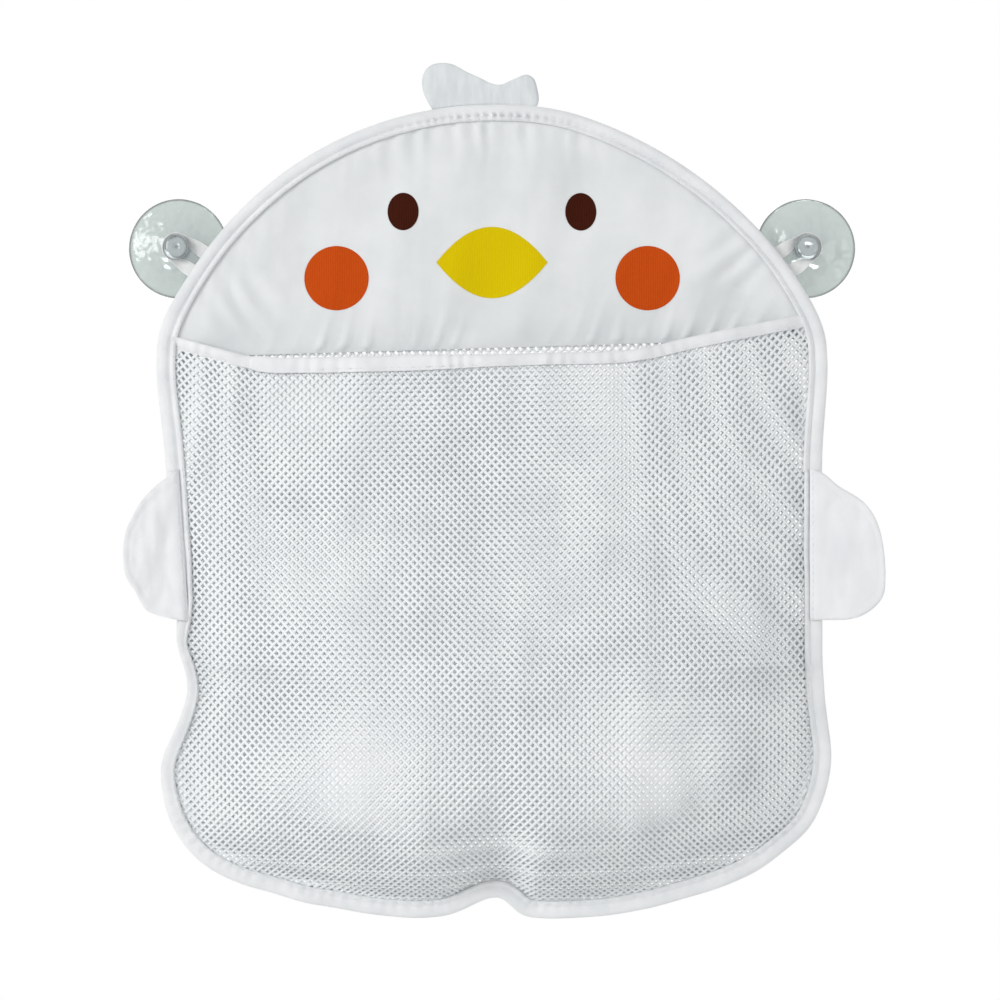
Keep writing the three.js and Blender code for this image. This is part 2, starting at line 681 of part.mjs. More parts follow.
// Finishes
const finishes = {
  cloth: { color: 0xe9eaec, roughness: 0.85, metalness: 0 },
  tape: { color: 0xf2f3f5, roughness: 0.75, metalness: 0 },
  net: { color: 0xeef0f2, roughness: 0.6, metalness: 0 },
  rod: { color: 0xd8d8d4, roughness: 0.5, metalness: 0 },
  felt: { color: 0xdde6ee, roughness: 0.9, metalness: 0 },
  ribbon: { color: 0xf4f4f2, roughness: 0.45, metalness: 0 },
  softPlastic: { color: 0xcfd6d4, roughness: 0.12, metalness: 0 },
  yellowPrint: { color: 0xe0c80a, roughness: 0.7, metalness: 0 },
  brownPrint: { color: 0x3e1a10, roughness: 0.7, metalness: 0 },
  orangePrint: { color: 0xd2541a, roughness: 0.7, metalness: 0 },
};

const organizer = new THREE.Group();
organizer.name = 'bath_toy_organizer';

function addPiece(name, geometry, finish) {
  const mesh = new THREE.Mesh(geometry, new THREE.MeshStandardMaterial(finishes[finish]));
  mesh.name = name;
  organizer.add(mesh);
}

addPiece('face_panel', facePanel(), 'cloth');
addPiece('upper_binding', upperBinding(), 'tape');
addPiece('boning', boning(), 'rod');
addPiece('lower_binding', lowerBinding(), 'tape');
addPiece('back_net', backNet(), 'net');
addPiece('front_net', frontNet(), 'net');
addPiece('mouth_hem', mouthHem(), 'tape');
addPiece('left_wing', wing(leftDistance, -1, WING_REACH_LEFT), 'cloth');
addPiece('right_wing', wing(rightDistance, 1, WING_REACH_RIGHT), 'cloth');
addPiece('tuft', tuft(), 'felt');
for (const [name, side] of [['left', -1], ['right', 1]]) {
  addPiece(`${name}_loop`, ribbonLoop(side), 'ribbon');
  addPiece(`${name}_cup`, suctionCup(side), 'softPlastic');
  const eye = roundPrint(side * EYE_X, EYE_RISE, EYE_HALF_WIDTH, EYE_HALF_HEIGHT);
  addPiece(`${name}_eye_print`, eye, 'brownPrint');
  const cheek = roundPrint(side * CHEEK_X, CHEEK_RISE, CHEEK_RADIUS, CHEEK_RADIUS);
  addPiece(`${name}_cheek_print`, cheek, 'orangePrint');
}
addPiece('beak_print', beakPrint(), 'yellowPrint');

export default organizer;
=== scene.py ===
# Bath toy organizer: a chick-shaped net bag that hangs on a wall by two suction cups.
# Metres, +Z up. The wall is the plane Y = 0 and the bag's front faces -Y.
import math

import bmesh
import bpy
import numpy as np
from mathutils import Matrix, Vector, noise


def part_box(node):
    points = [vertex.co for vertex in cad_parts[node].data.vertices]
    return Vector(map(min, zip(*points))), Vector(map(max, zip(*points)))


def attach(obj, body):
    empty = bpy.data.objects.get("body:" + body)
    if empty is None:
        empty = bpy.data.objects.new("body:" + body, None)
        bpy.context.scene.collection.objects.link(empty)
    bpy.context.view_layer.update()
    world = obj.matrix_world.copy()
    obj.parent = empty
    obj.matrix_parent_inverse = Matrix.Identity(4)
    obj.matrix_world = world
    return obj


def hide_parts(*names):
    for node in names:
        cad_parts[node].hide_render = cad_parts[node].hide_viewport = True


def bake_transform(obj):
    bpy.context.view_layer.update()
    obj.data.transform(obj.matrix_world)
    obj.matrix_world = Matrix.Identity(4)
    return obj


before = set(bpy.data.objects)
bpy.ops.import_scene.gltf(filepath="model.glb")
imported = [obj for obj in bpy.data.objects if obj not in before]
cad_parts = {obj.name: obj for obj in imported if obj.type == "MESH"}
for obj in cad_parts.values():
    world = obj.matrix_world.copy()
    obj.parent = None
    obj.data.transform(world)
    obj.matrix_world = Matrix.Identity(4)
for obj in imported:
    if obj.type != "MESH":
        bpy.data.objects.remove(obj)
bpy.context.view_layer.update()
scene = bpy.context.scene
scene.view_settings.view_transform = "Standard"

# Back net
# A flat piece of white polyester net with diamond holes, two sets of yarns crossing over and under.
# It is cut to the bag's outline, sewn to the cloth dome along the top and caught in the binding.
DOME_RADIUS = 0.1584
DOME_END_ANGLE = math.radians(21.7)
# How far the cloth pushes the rod out of its arc, in even steps over the dome from right to left
DOME_SWELLS = [0.0016, 0.0004, -0.0011, -0.0015, -0.0008, 0.0007, 0.0004,
               0.0003, 0.0003, 0.0003, 0.0003, 0.0007, 0.0016]
LOOP_REACH = 0.0122
SHOULDER_SWELL = 0.0038
WAIST_DROP = 0.164
# Each station down the body: drawn in on the left, on the right, and dropped below the dome's ends
BODY_STATIONS = [
    (0.000, 0.000, 0.016),
    (0.0038, 0.0023, 0.058),
    (0.0090, 0.0024, 0.127),
    (0.0090, 0.0022, 0.142),
    (0.014, 0.0015, WAIST_DROP),
    (0.0022, -0.0008, 0.199),
    (0.0065, 0.0065, 0.222),
    (0.022, 0.028, 0.242),
    (0.070, 0.072, 0.2595),
    (0.128, 0.134, 0.2655),
]
NOTCH_DROP = 0.2565
NOTCH_X = 0.0025
SEAM_DROP = (0.014, 0.005)
HIP_Z = -0.2
STATION_STEPS = 40
INSET_STEPS = 2400
TANGENT_REACH = 0.0012

right_cup_low, right_cup_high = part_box("right_cup")
panel_low, panel_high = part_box("face_panel")
CUP_X = (right_cup_low[0] + right_cup_high[0]) / 2
BAG_Y = (panel_low[1] + panel_high[1]) / 2
DOME_Z = -math.sqrt((DOME_RADIUS + LOOP_REACH) ** 2 - CUP_X ** 2)
DOME_END_Z = DOME_Z + DOME_RADIUS * math.sin(DOME_END_ANGLE)
SHOULDER = DOME_RADIUS * math.cos(DOME_END_ANGLE) + SHOULDER_SWELL


def bag_stations():
    """Points that the outline passes, from the right end of the dome over the top and round."""
    angles = np.linspace(DOME_END_ANGLE, math.pi - DOME_END_ANGLE, len(DOME_SWELLS))
    radii = DOME_RADIUS + np.array(DOME_SWELLS)
    stations = [(r * math.cos(a), DOME_Z + r * math.sin(a)) for a, r in zip(angles, radii)]
    stations += [(left - SHOULDER, DOME_END_Z - drop) for left, right, drop in BODY_STATIONS]
    stations.append((NOTCH_X, DOME_END_Z - NOTCH_DROP))
    stations += [(SHOULDER - right, DOME_END_Z - drop) for left, right, drop in BODY_STATIONS[::-1]]
    return np.array(stations)


def smooth_through(points, steps, closed=True):
    """A centripetal curve through the points, with so many steps from each to the next."""
    points = np.asarray(points, float)
    if not closed:
        points = np.vstack([2 * points[0] - points[1], points, 2 * points[-1] - points[-2]])
    count = len(points)
    curve = []
    for k in range(count) if closed else range(1, count - 2):
        a, b, c, d = (points[(k + n) % count] for n in (-1, 0, 1, 2))
        tb = np.linalg.norm(b - a) ** 0.5
        tc = tb + np.linalg.norm(c - b) ** 0.5
        td = tc + np.linalg.norm(d - c) ** 0.5
        for t in np.linspace(tb, tc, steps, endpoint=False):
            ab = (a * (tb - t) + b * t) / tb
            bc = (b * (tc - t) + c * (t - tb)) / (tc - tb)
            cd = (c * (td - t) + d * (t - tc)) / (td - tc)
            abc = (ab * (tc - t) + bc * t) / tc
            bcd = (bc * (td - t) + cd * (t - tb)) / (td - tb)
            curve.append((abc * (tc - t) + bcd * (t - tb)) / (tc - tb))
    if not closed:
        curve.append(points[-2])
    return np.array(curve)


def lengths_along(points):
    """Distances from the first of a row of points to each, along the row."""
    steps = np.linalg.norm(np.diff(points, axis=0), axis=1)
    return np.concatenate([[0.0], np.cumsum(steps)])


outline_loop = smooth_through(bag_stations(), STATION_STEPS)
outline_loop = np.vstack([outline_loop, outline_loop[:1]])
outline_marks = lengths_along(outline_loop)
OUTLINE_LENGTH = outline_marks[-1]


def unit(vectors):
    """Vectors made one long."""
    return vectors / np.linalg.norm(vectors, axis=-1, keepdims=True)


def outline_at(distance, inset=0.0):
    """X and Z of the outline at distances along it, moved inwards, and its outward directions."""
    def walk(along):
        along = np.mod(along, OUTLINE_LENGTH)
        return np.stack([np.interp(along, outline_marks, outline_loop[:, n]) for n in (0, 1)], -1)
    distance = np.asarray(distance, float)
    tangent = unit(walk(distance + TANGENT_REACH) - walk(distance - TANGENT_REACH))
    outward = np.stack([tangent[..., 1], -tangent[..., 0]], -1)
    return walk(distance) - outward * np.asarray(inset)[..., None], outward


class InsetOutline:
    """The outline moved inwards, looked up by height at its sides or by width at its bottom."""

    def __init__(self, inset):
        loop, _ = outline_at(np.linspace(0, OUTLINE_LENGTH, INSET_STEPS, endpoint=False), inset)
        top = int(np.argmax(loop[:, 1]))
        loop = np.roll(loop, -top, axis=0)
        left_low = int(np.argmin(np.where(loop[:, 0] < 0, loop[:, 1], 1)))
        right_low = int(np.argmin(np.where(loop[:, 0] > 0, loop[:, 1], 1)))
        self.left = loop[:left_low + 1][::-1]
        self.right = loop[right_low:]
        left_hip = int(np.argmin(np.where(loop[:, 1] < HIP_Z, loop[:, 0], 1)))
        right_hip = int(np.argmax(np.where(loop[:, 1] < HIP_Z, loop[:, 0], -1)))
        self.bottom = loop[left_hip:right_hip + 1]

    def sides(self, z):
        left = np.interp(z, self.left[:, 1], self.left[:, 0])
        return left, np.interp(z, self.right[:, 1], self.right[:, 0])

    def floor(self, x):
        return np.interp(x, self.bottom[:, 0], self.bottom[:, 1])

    def holds(self, x, z):
        left, right = self.sides(z)
        return (x > left) & (x < right) & (z > self.floor(x))


def ease(low, high, value):
    """Smooth step from 0 at low to 1 at high."""
    share = np.clip((value - low) / (high - low), 0, 1)
    return share * share * (3 - 2 * share)


def seam_z(x):
    """Height of the seam between the face panel and the back net."""
    left, right = (DOME_END_Z - drop for drop in SEAM_DROP)
    return left + (right - left) * (x + SHOULDER) / (2 * SHOULDER)


def add_node(tree, kind, inputs=None, **options):
    """Adds a node, sets its options, and fills its inputs with values or other nodes' outputs."""
    node = tree.nodes.new(kind)
    for option, value in options.items():
        setattr(node, option, value)
    for socket, value in (inputs or {}).items():
        if isinstance(value, bpy.types.NodeSocket):
            tree.links.new(value, node.inputs[socket])
        else:
            node.inputs[socket].default_value = value
    return node


def maths(tree, operation, *values):
    """Output of a sum or other operation on values or other nodes' outputs."""
    return add_node(tree, "ShaderNodeMath", dict(enumerate(values)), operation=operation).outputs[0]


def colour_steps(tree, share, steps):
    """Colour that passes from step to step with a share. The first two steps are the range's ends."""
    ramp = add_node(tree, "ShaderNodeValToRGB", {"Fac": share})
    stops = ramp.color_ramp.elements
    for k, (position, colour) in enumerate(steps):
        stop = stops[k] if k < 2 else stops.new(position)
        stop.position = position
        stop.color = (*colour, 1)
    return ramp.outputs["Color"]


def new_finish(name, **constants):
    """A material with its node tree and its shader, whose fixed values are set on the sockets."""
    material = bpy.data.materials.new(name)
    material.use_nodes = True
    tree = material.node_tree
    shader = tree.nodes["Principled BSDF"]
    for socket, value in constants.items():
        shader.inputs[socket.replace("_", " ")].default_value = value
    return material, tree, shader


def uneven(tree, vector, scale, detail):
    """Soft unevenness between 0 and 1, finer with a larger scale."""
    inputs = {"Vector": vector, "Scale": scale, "Detail": detail}
    return add_node(tree, "ShaderNodeTexNoise", inputs).outputs["Fac"]


def mottled(tree, vector, scale, dark, light, detail=3.0):
    """Colour that wanders between two shades with the cloth's own unevenness."""
    return colour_steps(tree, uneven(tree, vector, scale, detail), [(0.35, dark), (0.65, light)])


def object_place(tree):
    return add_node(tree, "ShaderNodeTexCoord").outputs["Object"]


def cloth_place(tree):
    return add_node(tree, "ShaderNodeAttribute", attribute_name="cloth_place").outputs["Vector"]


def mottled_finish(name, find_place, spots, dark, light, detail=3.0, **constants):
    """A finish of two shades in spots, and the place on the piece that its other patterns need."""
    material, tree, shader = new_finish(name, **constants)
    place = find_place(tree)
    tree.links.new(mottled(tree, place, spots, dark, light, detail), shader.inputs["Base Color"])
    return material, tree, shader, place


def threads(tree, vector, pitch, direction, distortion=0.6):
    """Height of a row of threads, each one pitch wide, side by side along a direction."""
    wave_period = math.pi / 10
    return add_node(tree, "ShaderNodeTexWave", {
        "Vector": vector, "Scale": wave_period / pitch, "Distortion": distortion, "Detail": 1.0,
    }, bands_direction=direction).outputs["Fac"]


def raise_surface(tree, shader, height, distance):
    """Lifts the surface by a height pattern of at most the given distance."""
    bump = add_node(tree, "ShaderNodeBump", {"Height": height, "Distance": distance, "Strength": 1.0})
    tree.links.new(bump.outputs["Normal"], shader.inputs["Normal"])


def raise_grain(tree, shader, vector, scale, distance, detail=2.0):
    """Lifts the surface by a fine uneven grain."""
    raise_surface(tree, shader, uneven(tree, vector, scale, detail), distance)


def net_yarn_finish(name, grey, white):
    """White polyester yarn: a fine twist, slightly glossy, a little greyer here and there."""
    material, tree, shader, place = mottled_finish(
        name, object_place, 45, grey, white, Roughness=0.55, Sheen_Weight=0.2, Sheen_Roughness=0.4)
    raise_grain(tree, shader, place, scale=2600, distance=0.00012)
    return material


def line_tree(name, lengths):
    """A node tree that takes lines, named lengths and a finish; also gives its inputs and curves."""
    tree = bpy.data.node_groups.new(name, "GeometryNodeTree")
    kinds = {"Lines": "Geometry"} | dict.fromkeys(lengths, "Float") | {"Finish": "Material"}
    for socket, kind in kinds.items():
        tree.interface.new_socket(socket, in_out="INPUT", socket_type=f"NodeSocket{kind}")
    tree.interface.new_socket("Made", in_out="OUTPUT", socket_type="NodeSocketGeometry")
    given = add_node(tree, "NodeGroupInput").outputs
    curves = add_node(tree, "GeometryNodeMeshToCurve", {"Mesh": given["Lines"]})
    return tree, given, curves.outputs["Curve"]


def give_mesh(tree, given, geometry):
    """Ends a node tree: puts the finish on the geometry and gives it out."""
    painted = add_node(tree, "GeometryNodeSetMaterial", {
        "Geometry": geometry, "Material": given["Finish"],
    })
    add_node(tree, "NodeGroupOutput", {"Made": painted.outputs["Geometry"]})


def yarn_tree():
    """Node tree that turns every line of a net into a closed yarn, flat on the face of the net."""
    tree, given, curves = line_tree("net_yarns", ["Yarn width", "Yarn thickness"])
    facing = add_node(tree, "GeometryNodeSetCurveNormal", {"Curve": curves}, mode="Z_UP")
    section = add_node(tree, "GeometryNodeCurvePrimitiveQuadrilateral", {
        "Width": given["Yarn thickness"], "Height": given["Yarn width"],
    })
    yarns = add_node(tree, "GeometryNodeCurveToMesh", {
        "Curve": facing.outputs["Curve"], "Profile Curve": section.outputs["Curve"], "Fill Caps": True,
    })
    give_mesh(tree, given, yarns.outputs["Mesh"])
    return tree


def made_by(tree, name, lines, values):
    """Runs a node tree on a mesh of lines and keeps the result as a plain mesh object."""
    piece = bpy.data.objects.new(name, lines)
    scene.collection.objects.link(piece)
    modifier = piece.modifiers.new(name, "NODES")
    modifier.node_group = tree
    for item in tree.interface.items_tree:
        if item.in_out == "INPUT" and item.name in values:
            modifier[item.identifier] = values[item.name]
    evaluated = piece.evaluated_get(bpy.context.evaluated_depsgraph_get())
    finished = bpy.data.meshes.new_from_object(evaluated)
    piece.modifiers.clear()
    piece.data = finished
    return piece


HOLE_WIDTH = 0.0036
HOLE_HEIGHT = 0.0038
YARN_WIDTH = 0.00124
YARN_THICKNESS = 0.00062
YARN_CROSSING = 0.00008
NET_EDGE_INSET = 0.0022
# Half columns to each side of the middle, and half rows of the back net below the cups
NET_COLUMNS = 86
BACK_ROWS = (-162, -16)


def net_lines(name, place, columns, rows):
    """Lines of both sets of yarns of a diamond net. place() turns cloth widths and lengths into
    points and says which lie on the net; knots alternate over and under. Also gives the cloth area."""
    i, j = np.meshgrid(np.arange(*columns), np.arange(*rows), indexing="ij")
    points, kept = place(i * HOLE_WIDTH / 2, j * HOLE_HEIGHT / 2)
    kept &= (i + j) % 2 == 0
    vertices = []
    edges = []
    for slope in (1, -1):
        side = np.where((i % 2 == 0) == (slope == 1), -YARN_CROSSING, YARN_CROSSING)
        numbers = np.full(i.shape, -1)
        numbers[kept] = np.arange(kept.sum()) + len(vertices)
        knots = points[kept].copy()
        knots[:, 1] += side[kept]
        vertices.extend(map(tuple, knots))
        here = numbers[:-1, :-1] if slope == 1 else numbers[:-1, 1:]
        there = numbers[1:, 1:] if slope == 1 else numbers[1:, :-1]
        joined = (here >= 0) & (there >= 0)
        edges.extend(zip(here[joined].tolist(), there[joined].tolist()))
    lines = bpy.data.meshes.new(name)
    lines.from_pydata(vertices, edges, [])
    return lines, kept.sum() * HOLE_WIDTH * HOLE_HEIGHT / 2


yarns = yarn_tree()
yarn_sizes = {"Yarn width": YARN_WIDTH, "Yarn thickness": YARN_THICKNESS}
# The back net is the same yarn as the front net, painted lighter to lift the shade that the front net
# casts on it.
shade_lifted_back_yarn = net_yarn_finish("back_net_yarn_painted_lighter", (0.86, 0.885, 0.90), (0.92, 0.935, 0.945))
net_edge = InsetOutline(NET_EDGE_INSET)
SEAM_ALLOWANCE = 0.004
SEAM_SETBACK = 0.0008
BACK_NET_Y = BAG_Y + 0.0004
BACK_SLACK = 0.0012
BACK_WAVE_X = 0.021
BACK_WAVE_Z = 0.034


def back_net_place(x, z):
    """The back net hangs flat; its top edge passes just behind the face panel."""
    behind = SEAM_SETBACK * ease(seam_z(x) - 0.006, seam_z(x) - 0.001, z)
    waves = np.sin(x / BACK_WAVE_X + 1.0) * np.sin(z / BACK_WAVE_Z)
    slack = BACK_SLACK * waves * ease(0, 0.03, seam_z(x) - z)
    y = BACK_NET_Y + behind + slack * ease(0, 0.02, z - net_edge.floor(x))
    kept = net_edge.holds(x, z) & (z < seam_z(x) + SEAM_ALLOWANCE)
    return np.stack([x, y, z], -1), kept


back_columns = (-NET_COLUMNS, NET_COLUMNS + 1)
back_lines, back_area = net_lines("back_net_lines", back_net_place, back_columns, BACK_ROWS)
back_net = made_by(yarns, "knitted_back_net", back_lines, yarn_sizes | {"Finish": shade_lifted_back_yarn})
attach(back_net, "bag")
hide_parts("back_net")

# Face panel
# The dome of plain woven white polyester, cut in one piece and held in the upper binding. Sewing has
# drawn it into soft upright folds, with short puckers under the binding and above the lower seam.
CLOTH_THICKNESS = 0.0006
PANEL_INSET = 0.0036
PANEL_FRONT = 0.0003
# Each layer of soft unevenness, or drift of ripples in radians: its depth, the width and height of its
# spots, and its seed
PANEL_FOLDS = [(0.0040, 0.024, 0.075, 3.1), (0.0006, 0.0095, 0.05, 8.4)]
PANEL_SAG = [(0.0030, 0.060, 0.045, 17.9)]
FOLD_LEAN = 0.22
FOLD_SPREAD = 1.6
# Gathers hang from the binding, most near the middle, and fans stand on the seam
GATHER_DEPTH = 0.0016
GATHER_SPACING = 0.0086
GATHER_DRIFT = [(3.2, 0.022, 0.022, 5.7)]
GATHER_MIDDLE_X = -0.010
GATHER_SPREAD = 0.044
GATHER_RUN = 0.007
FAN_DEPTH = 0.0018
FAN_SPACING = 0.0105
FAN_DRIFT = [(3.6, 0.03, 0.03, 12.3)]
FAN_LEAN = 0.35
FAN_RUN = 0.009
FAN_SHARPNESS = 2.5
# Each patch of slanting drag lines: its middle, the way across its lines, their spacing and depth
PANEL_DRAGS = [(0.110, -0.005, -0.62, 0.78, 0.0100, 0.0010),
               (-0.111, -0.025, 0.80, 0.60, 0.0115, 0.0011)]
DRAG_DRIFT = [(1.4, 0.02, 0.02, 2.2)]
DRAG_WIDTH = 0.016
DRAG_HEIGHT = 0.012
# Distances from the binding and the lower seam over which the folds begin, and the drawn lines
FREE_OF_TAPE = (0.006, 0.024)
FREE_OF_SEAM = (-0.002, 0.012)
DRAWN_BY_TAPE = (0.0060, 0.0110)
DRAWN_BY_SEAM = (0.0, 0.0030)
PANEL_COLUMNS = 280
PANEL_ROWS = 96
PANEL_LEAST_HEIGHT = 0.002


def wander(x, z, width, height, seed):
    """Smooth unevenness between about -1 and 1, on spots of a given width and height."""
    x, z = np.broadcast_arrays(np.asarray(x, float), np.asarray(z, float))
    spots = [noise.noise(Vector((a / width, b / height, seed))) for a, b in zip(x.flat, z.flat)]
    return np.array(spots).reshape(x.shape)


def layered(x, z, layers):
    """Sum of layers of unevenness, each of its own depth."""
    return sum(depth * wander(x, z, width, height, seed) for depth, width, height, seed in layers)


def ripples(run, spacing, drift):
    """Ripples between -1 and 1 along a run, put out of step by a drift in radians."""
    return np.sin(2 * math.pi * run / spacing + drift)


def hump(value, middle, width):
    """Smooth hump of height 1 about a middle."""
    return np.exp(-((value - middle) / width) ** 2)


def humps(value, rows):
    """Sum of humps, each with its height, middle and width."""
    return sum(height * hump(value, middle, width) for height, middle, width in rows)


def panel_y(x, z):
    """Place of the middle of the cloth from front to back, with its folds and puckers."""
    below_edge = DOME_RADIUS - np.hypot(x, z - DOME_Z)
    above_seam = z - seam_z(x)
    up = z - DOME_END_Z
    held = ease(*FREE_OF_TAPE, below_edge) * ease(*FREE_OF_SEAM, above_seam)
    folds = layered(x - FOLD_LEAN * up - FOLD_SPREAD * x * up, z, PANEL_FOLDS)
    rise = (folds + layered(x, z, PANEL_SAG)) * held
    gathers = ripples(x, GATHER_SPACING, layered(x, z, GATHER_DRIFT))
    run_out = np.exp(1 - below_edge / GATHER_RUN)
    gathers = gathers * run_out * (0.10 + hump(x, GATHER_MIDDLE_X, GATHER_SPREAD))
    gathers = gathers * (0.35 + ease(-0.2, 0.4, wander(x, 0 * z, 0.014, 1.0, 7.2)))
    fans = ripples(x - FAN_LEAN * above_seam, FAN_SPACING, layered(x, z, FAN_DRIFT))
    fans = (0.5 + 0.5 * fans) ** FAN_SHARPNESS * np.exp(-above_seam / FAN_RUN)
    fans = fans * ease(-0.40, 0.25, wander(x, 0 * z, 0.030, 1.0, 21.5))
    drawn = GATHER_DEPTH * gathers + FAN_DEPTH * fans
    for middle_x, middle_z, across_x, across_z, spacing, depth in PANEL_DRAGS:
        lines = ripples(across_x * x + across_z * z, spacing, layered(x, z, DRAG_DRIFT))
        drawn = drawn + depth * lines * hump(x, middle_x, DRAG_WIDTH) * hump(z, middle_z, DRAG_HEIGHT)
    pinned = ease(*DRAWN_BY_TAPE, below_edge) * ease(*DRAWN_BY_SEAM, above_seam)
    return BAG_Y - PANEL_FRONT - rise - drawn * pinned


def closed_piece(name, vertices, faces, material, crease=55, places=None):
    """A closed mesh object with faces outwards, and where each point lies on the cloth if given."""
    mesh = bpy.data.meshes.new(name)
    mesh.from_pydata([tuple(map(float, v)) for v in vertices], [], faces)
    work = bmesh.new()
    work.from_mesh(mesh)
    bmesh.ops.recalc_face_normals(work, faces=work.faces)
    work.to_mesh(mesh)
    work.free()
    mesh.shade_smooth()
    mesh.set_sharp_from_angle(angle=math.radians(crease))
    if places is not None:
        cloth = mesh.attributes.new("cloth_place", "FLOAT_VECTOR", "POINT")
        cloth.data.foreach_set("vector", np.asarray(places, np.float32).ravel())
    mesh.materials.append(material)
    piece = bpy.data.objects.new(name, mesh)
    scene.collection.objects.link(piece)
    return piece


def ring_quads(rings, count, first=0, closed=True):
    """Faces between each ring or row of points and the next."""
    faces = []
    for a in range(first, first + (rings - 1) * count, count):
        for k in range(count if closed else count - 1):
            after = (k + 1) % count
            faces.append([a + k, a + after, a + count + after, a + count + k])
    return faces


def ring_fan(count, first, tip):
    """Faces from a ring of points to one point."""
    return [[first + k, first + (k + 1) % count, tip] for k in range(count)]


def grid_shell(name, front, back, material):
    """A closed sheet between a front and a back grid of points, walled round its four edges."""
    rows, columns = front.shape[:2]
    shift = rows * columns
    faces = ring_quads(rows, columns, 0, closed=False) + ring_quads(rows, columns, shift, closed=False)
    number = np.arange(shift).reshape(rows, columns).tolist()
    sides = list(zip(*number))
    rim = [*number[0], *sides[-1][1:], *number[-1][-2::-1], *sides[0][-2:0:-1]]
    faces += [[b, a, a + shift, b + shift] for a, b in zip(rim, rim[1:] + rim[:1])]
    return closed_piece(name, [*front.reshape(-1, 3), *back.reshape(-1, 3)], faces, material)


def woven_cloth_finish(name, dark, light, pitch=0.00042):
    """Plain weave: threads both ways, slubs here and there, soft and without gloss."""
    material, tree, shader = new_finish(name, Roughness=0.85, Sheen_Weight=0.2, Sheen_Roughness=0.5)
    place = object_place(tree)
    colour = mottled(tree, place, 38, dark, light, detail=5.0)
    warp = threads(tree, place, pitch, "X")
    weft = threads(tree, place, pitch, "Z")
    weave = maths(tree, "ADD", warp, weft)
    # The weave's low places are painted up to 7% darker: painted shade between the threads.
    shade = add_node(tree, "ShaderNodeMapRange", {
        "Value": weave, "From Max": 2.0, "To Min": 0.93, "To Max": 1.0,
    })
    grey = add_node(tree, "ShaderNodeCombineColor", {n: shade.outputs[0] for n in (0, 1, 2)})
    tinted = add_node(tree, "ShaderNodeMix", {
        0: 1.0, 6: colour, 7: grey.outputs[0],
    }, data_type="RGBA", blend_type="MULTIPLY")
    tree.links.new(tinted.outputs[2], shader.inputs["Base Color"])
    raise_surface(tree, shader, weave, 0.00007)
    return material


face_cloth = woven_cloth_finish("face_cloth", (0.775, 0.80, 0.81), (0.845, 0.865, 0.87))
panel_half = float(InsetOutline(PANEL_INSET).sides(seam_z(0.0))[1])
column_x = np.linspace(-panel_half, panel_half, PANEL_COLUMNS + 1)
column_top = DOME_Z + np.sqrt((DOME_RADIUS - PANEL_INSET) ** 2 - column_x ** 2)
row_share = np.linspace(0, 1, PANEL_ROWS + 1)[:, None]
panel_x = np.broadcast_to(column_x, (PANEL_ROWS + 1, PANEL_COLUMNS + 1))
column_height = np.maximum(column_top - seam_z(column_x), PANEL_LEAST_HEIGHT)
panel_z = seam_z(column_x) + column_height * row_share
panel_mid = panel_y(panel_x, panel_z)
face_panel = grid_shell(
    "face_cloth_panel",
    np.stack([panel_x, panel_mid - CLOTH_THICKNESS / 2, panel_z], -1),
    np.stack([panel_x, panel_mid + CLOTH_THICKNESS / 2, panel_z], -1),
    face_cloth,
)
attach(face_panel, "bag")
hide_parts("face_panel")

# Printed face
# Eyes, beak and cheeks screen-printed on the cloth in dark brown, yellow and orange. Each is a thin
# film of ink that follows the folds of the panel, with the threads of the weave showing through it.
INK_THICKNESS = 0.00012
INK_RISE = 0.00004
PRINT_RINGS = 14
PRINT_SIDES = 72


def disc_shell(name, rim, centre, rings, middle_y, half, material, crease=55):
    """A closed flat piece: front and back faces of rings round a centre, walled along the rim. The
    middle's Y depends on X and Z, and half the thickness on the share of the way to the rim."""
    count = len(rim)
    centre = np.asarray(centre)
    vertices = []
    faces = []
    for face in (-1, 1):
        first = len(vertices)
        for ring in range(rings + 1):
            share = 1 - ring / rings
            spots = centre + (rim - centre) * share
            x, z = (spots if ring < rings else spots[:1]).T
            vertices.extend(zip(x, middle_y(x, z) + face * half(share), z))
        faces += ring_quads(rings, count, first)
        faces += ring_fan(count, first + (rings - 1) * count, first + rings * count)
    shift = rings * count + 1
    faces += [[k, (k + 1) % count, (k + 1) % count + shift, k + shift] for k in range(count)]
    return closed_piece(name, vertices, faces, material, crease)


def print_finish(name, dark, light):
    """Ink on cloth: even colour, broken by upright threads where the ink lies thinner."""
    material, tree, shader = new_finish(name, Roughness=0.9, Specular_IOR_Level=0.05)
    place = object_place(tree)
    warp = threads(tree, place, 0.0008, "X", distortion=1.6)
    weft = threads(tree, place, 0.00042, "Z")
    thin = maths(tree, "MULTIPLY", warp, uneven(tree, place, scale=900, detail=4.0))
    colour = add_node(tree, "ShaderNodeMix", {
        0: thin, 6: (*dark, 1), 7: (*light, 1),
    }, data_type="RGBA")
    tree.links.new(colour.outputs[2], shader.inputs["Base Color"])
    raise_surface(tree, shader, maths(tree, "ADD", warp, weft), 0.00006)
    return material


def print_patch(name, node, shape, material):
    """A patch of ink on the front of the panel, of a shape that fills its node's box."""
    low, high = (np.array([corner[0], corner[2]]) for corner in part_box(node))
    rim = (low + high) / 2 + (high - low) / 2 * shape

    def ink_y(x, z):
        return panel_y(x, z) - CLOTH_THICKNESS / 2 - INK_RISE - INK_THICKNESS / 2

    def ink_half(share):
        return INK_THICKNESS / 2

    patch = disc_shell(name, rim, rim.mean(axis=0), PRINT_RINGS, ink_y, ink_half, material)
    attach(patch, "bag")
    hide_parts(node)


def circle(sides):
    """Points of a circle of radius 1."""
    turn = np.linspace(0, 2 * math.pi, sides, endpoint=False)
    return np.stack([np.cos(turn), np.sin(turn)], -1)


def pointed_oval(sides):
    """Points of an oval with pointed ends, 2 wide and 2 high."""
    across = np.linspace(-1, 1, sides // 2 + 1)
    upper = np.stack([across, 1 - across ** 2], -1)
    return np.vstack([upper * (1, -1), upper[-2:0:-1]])


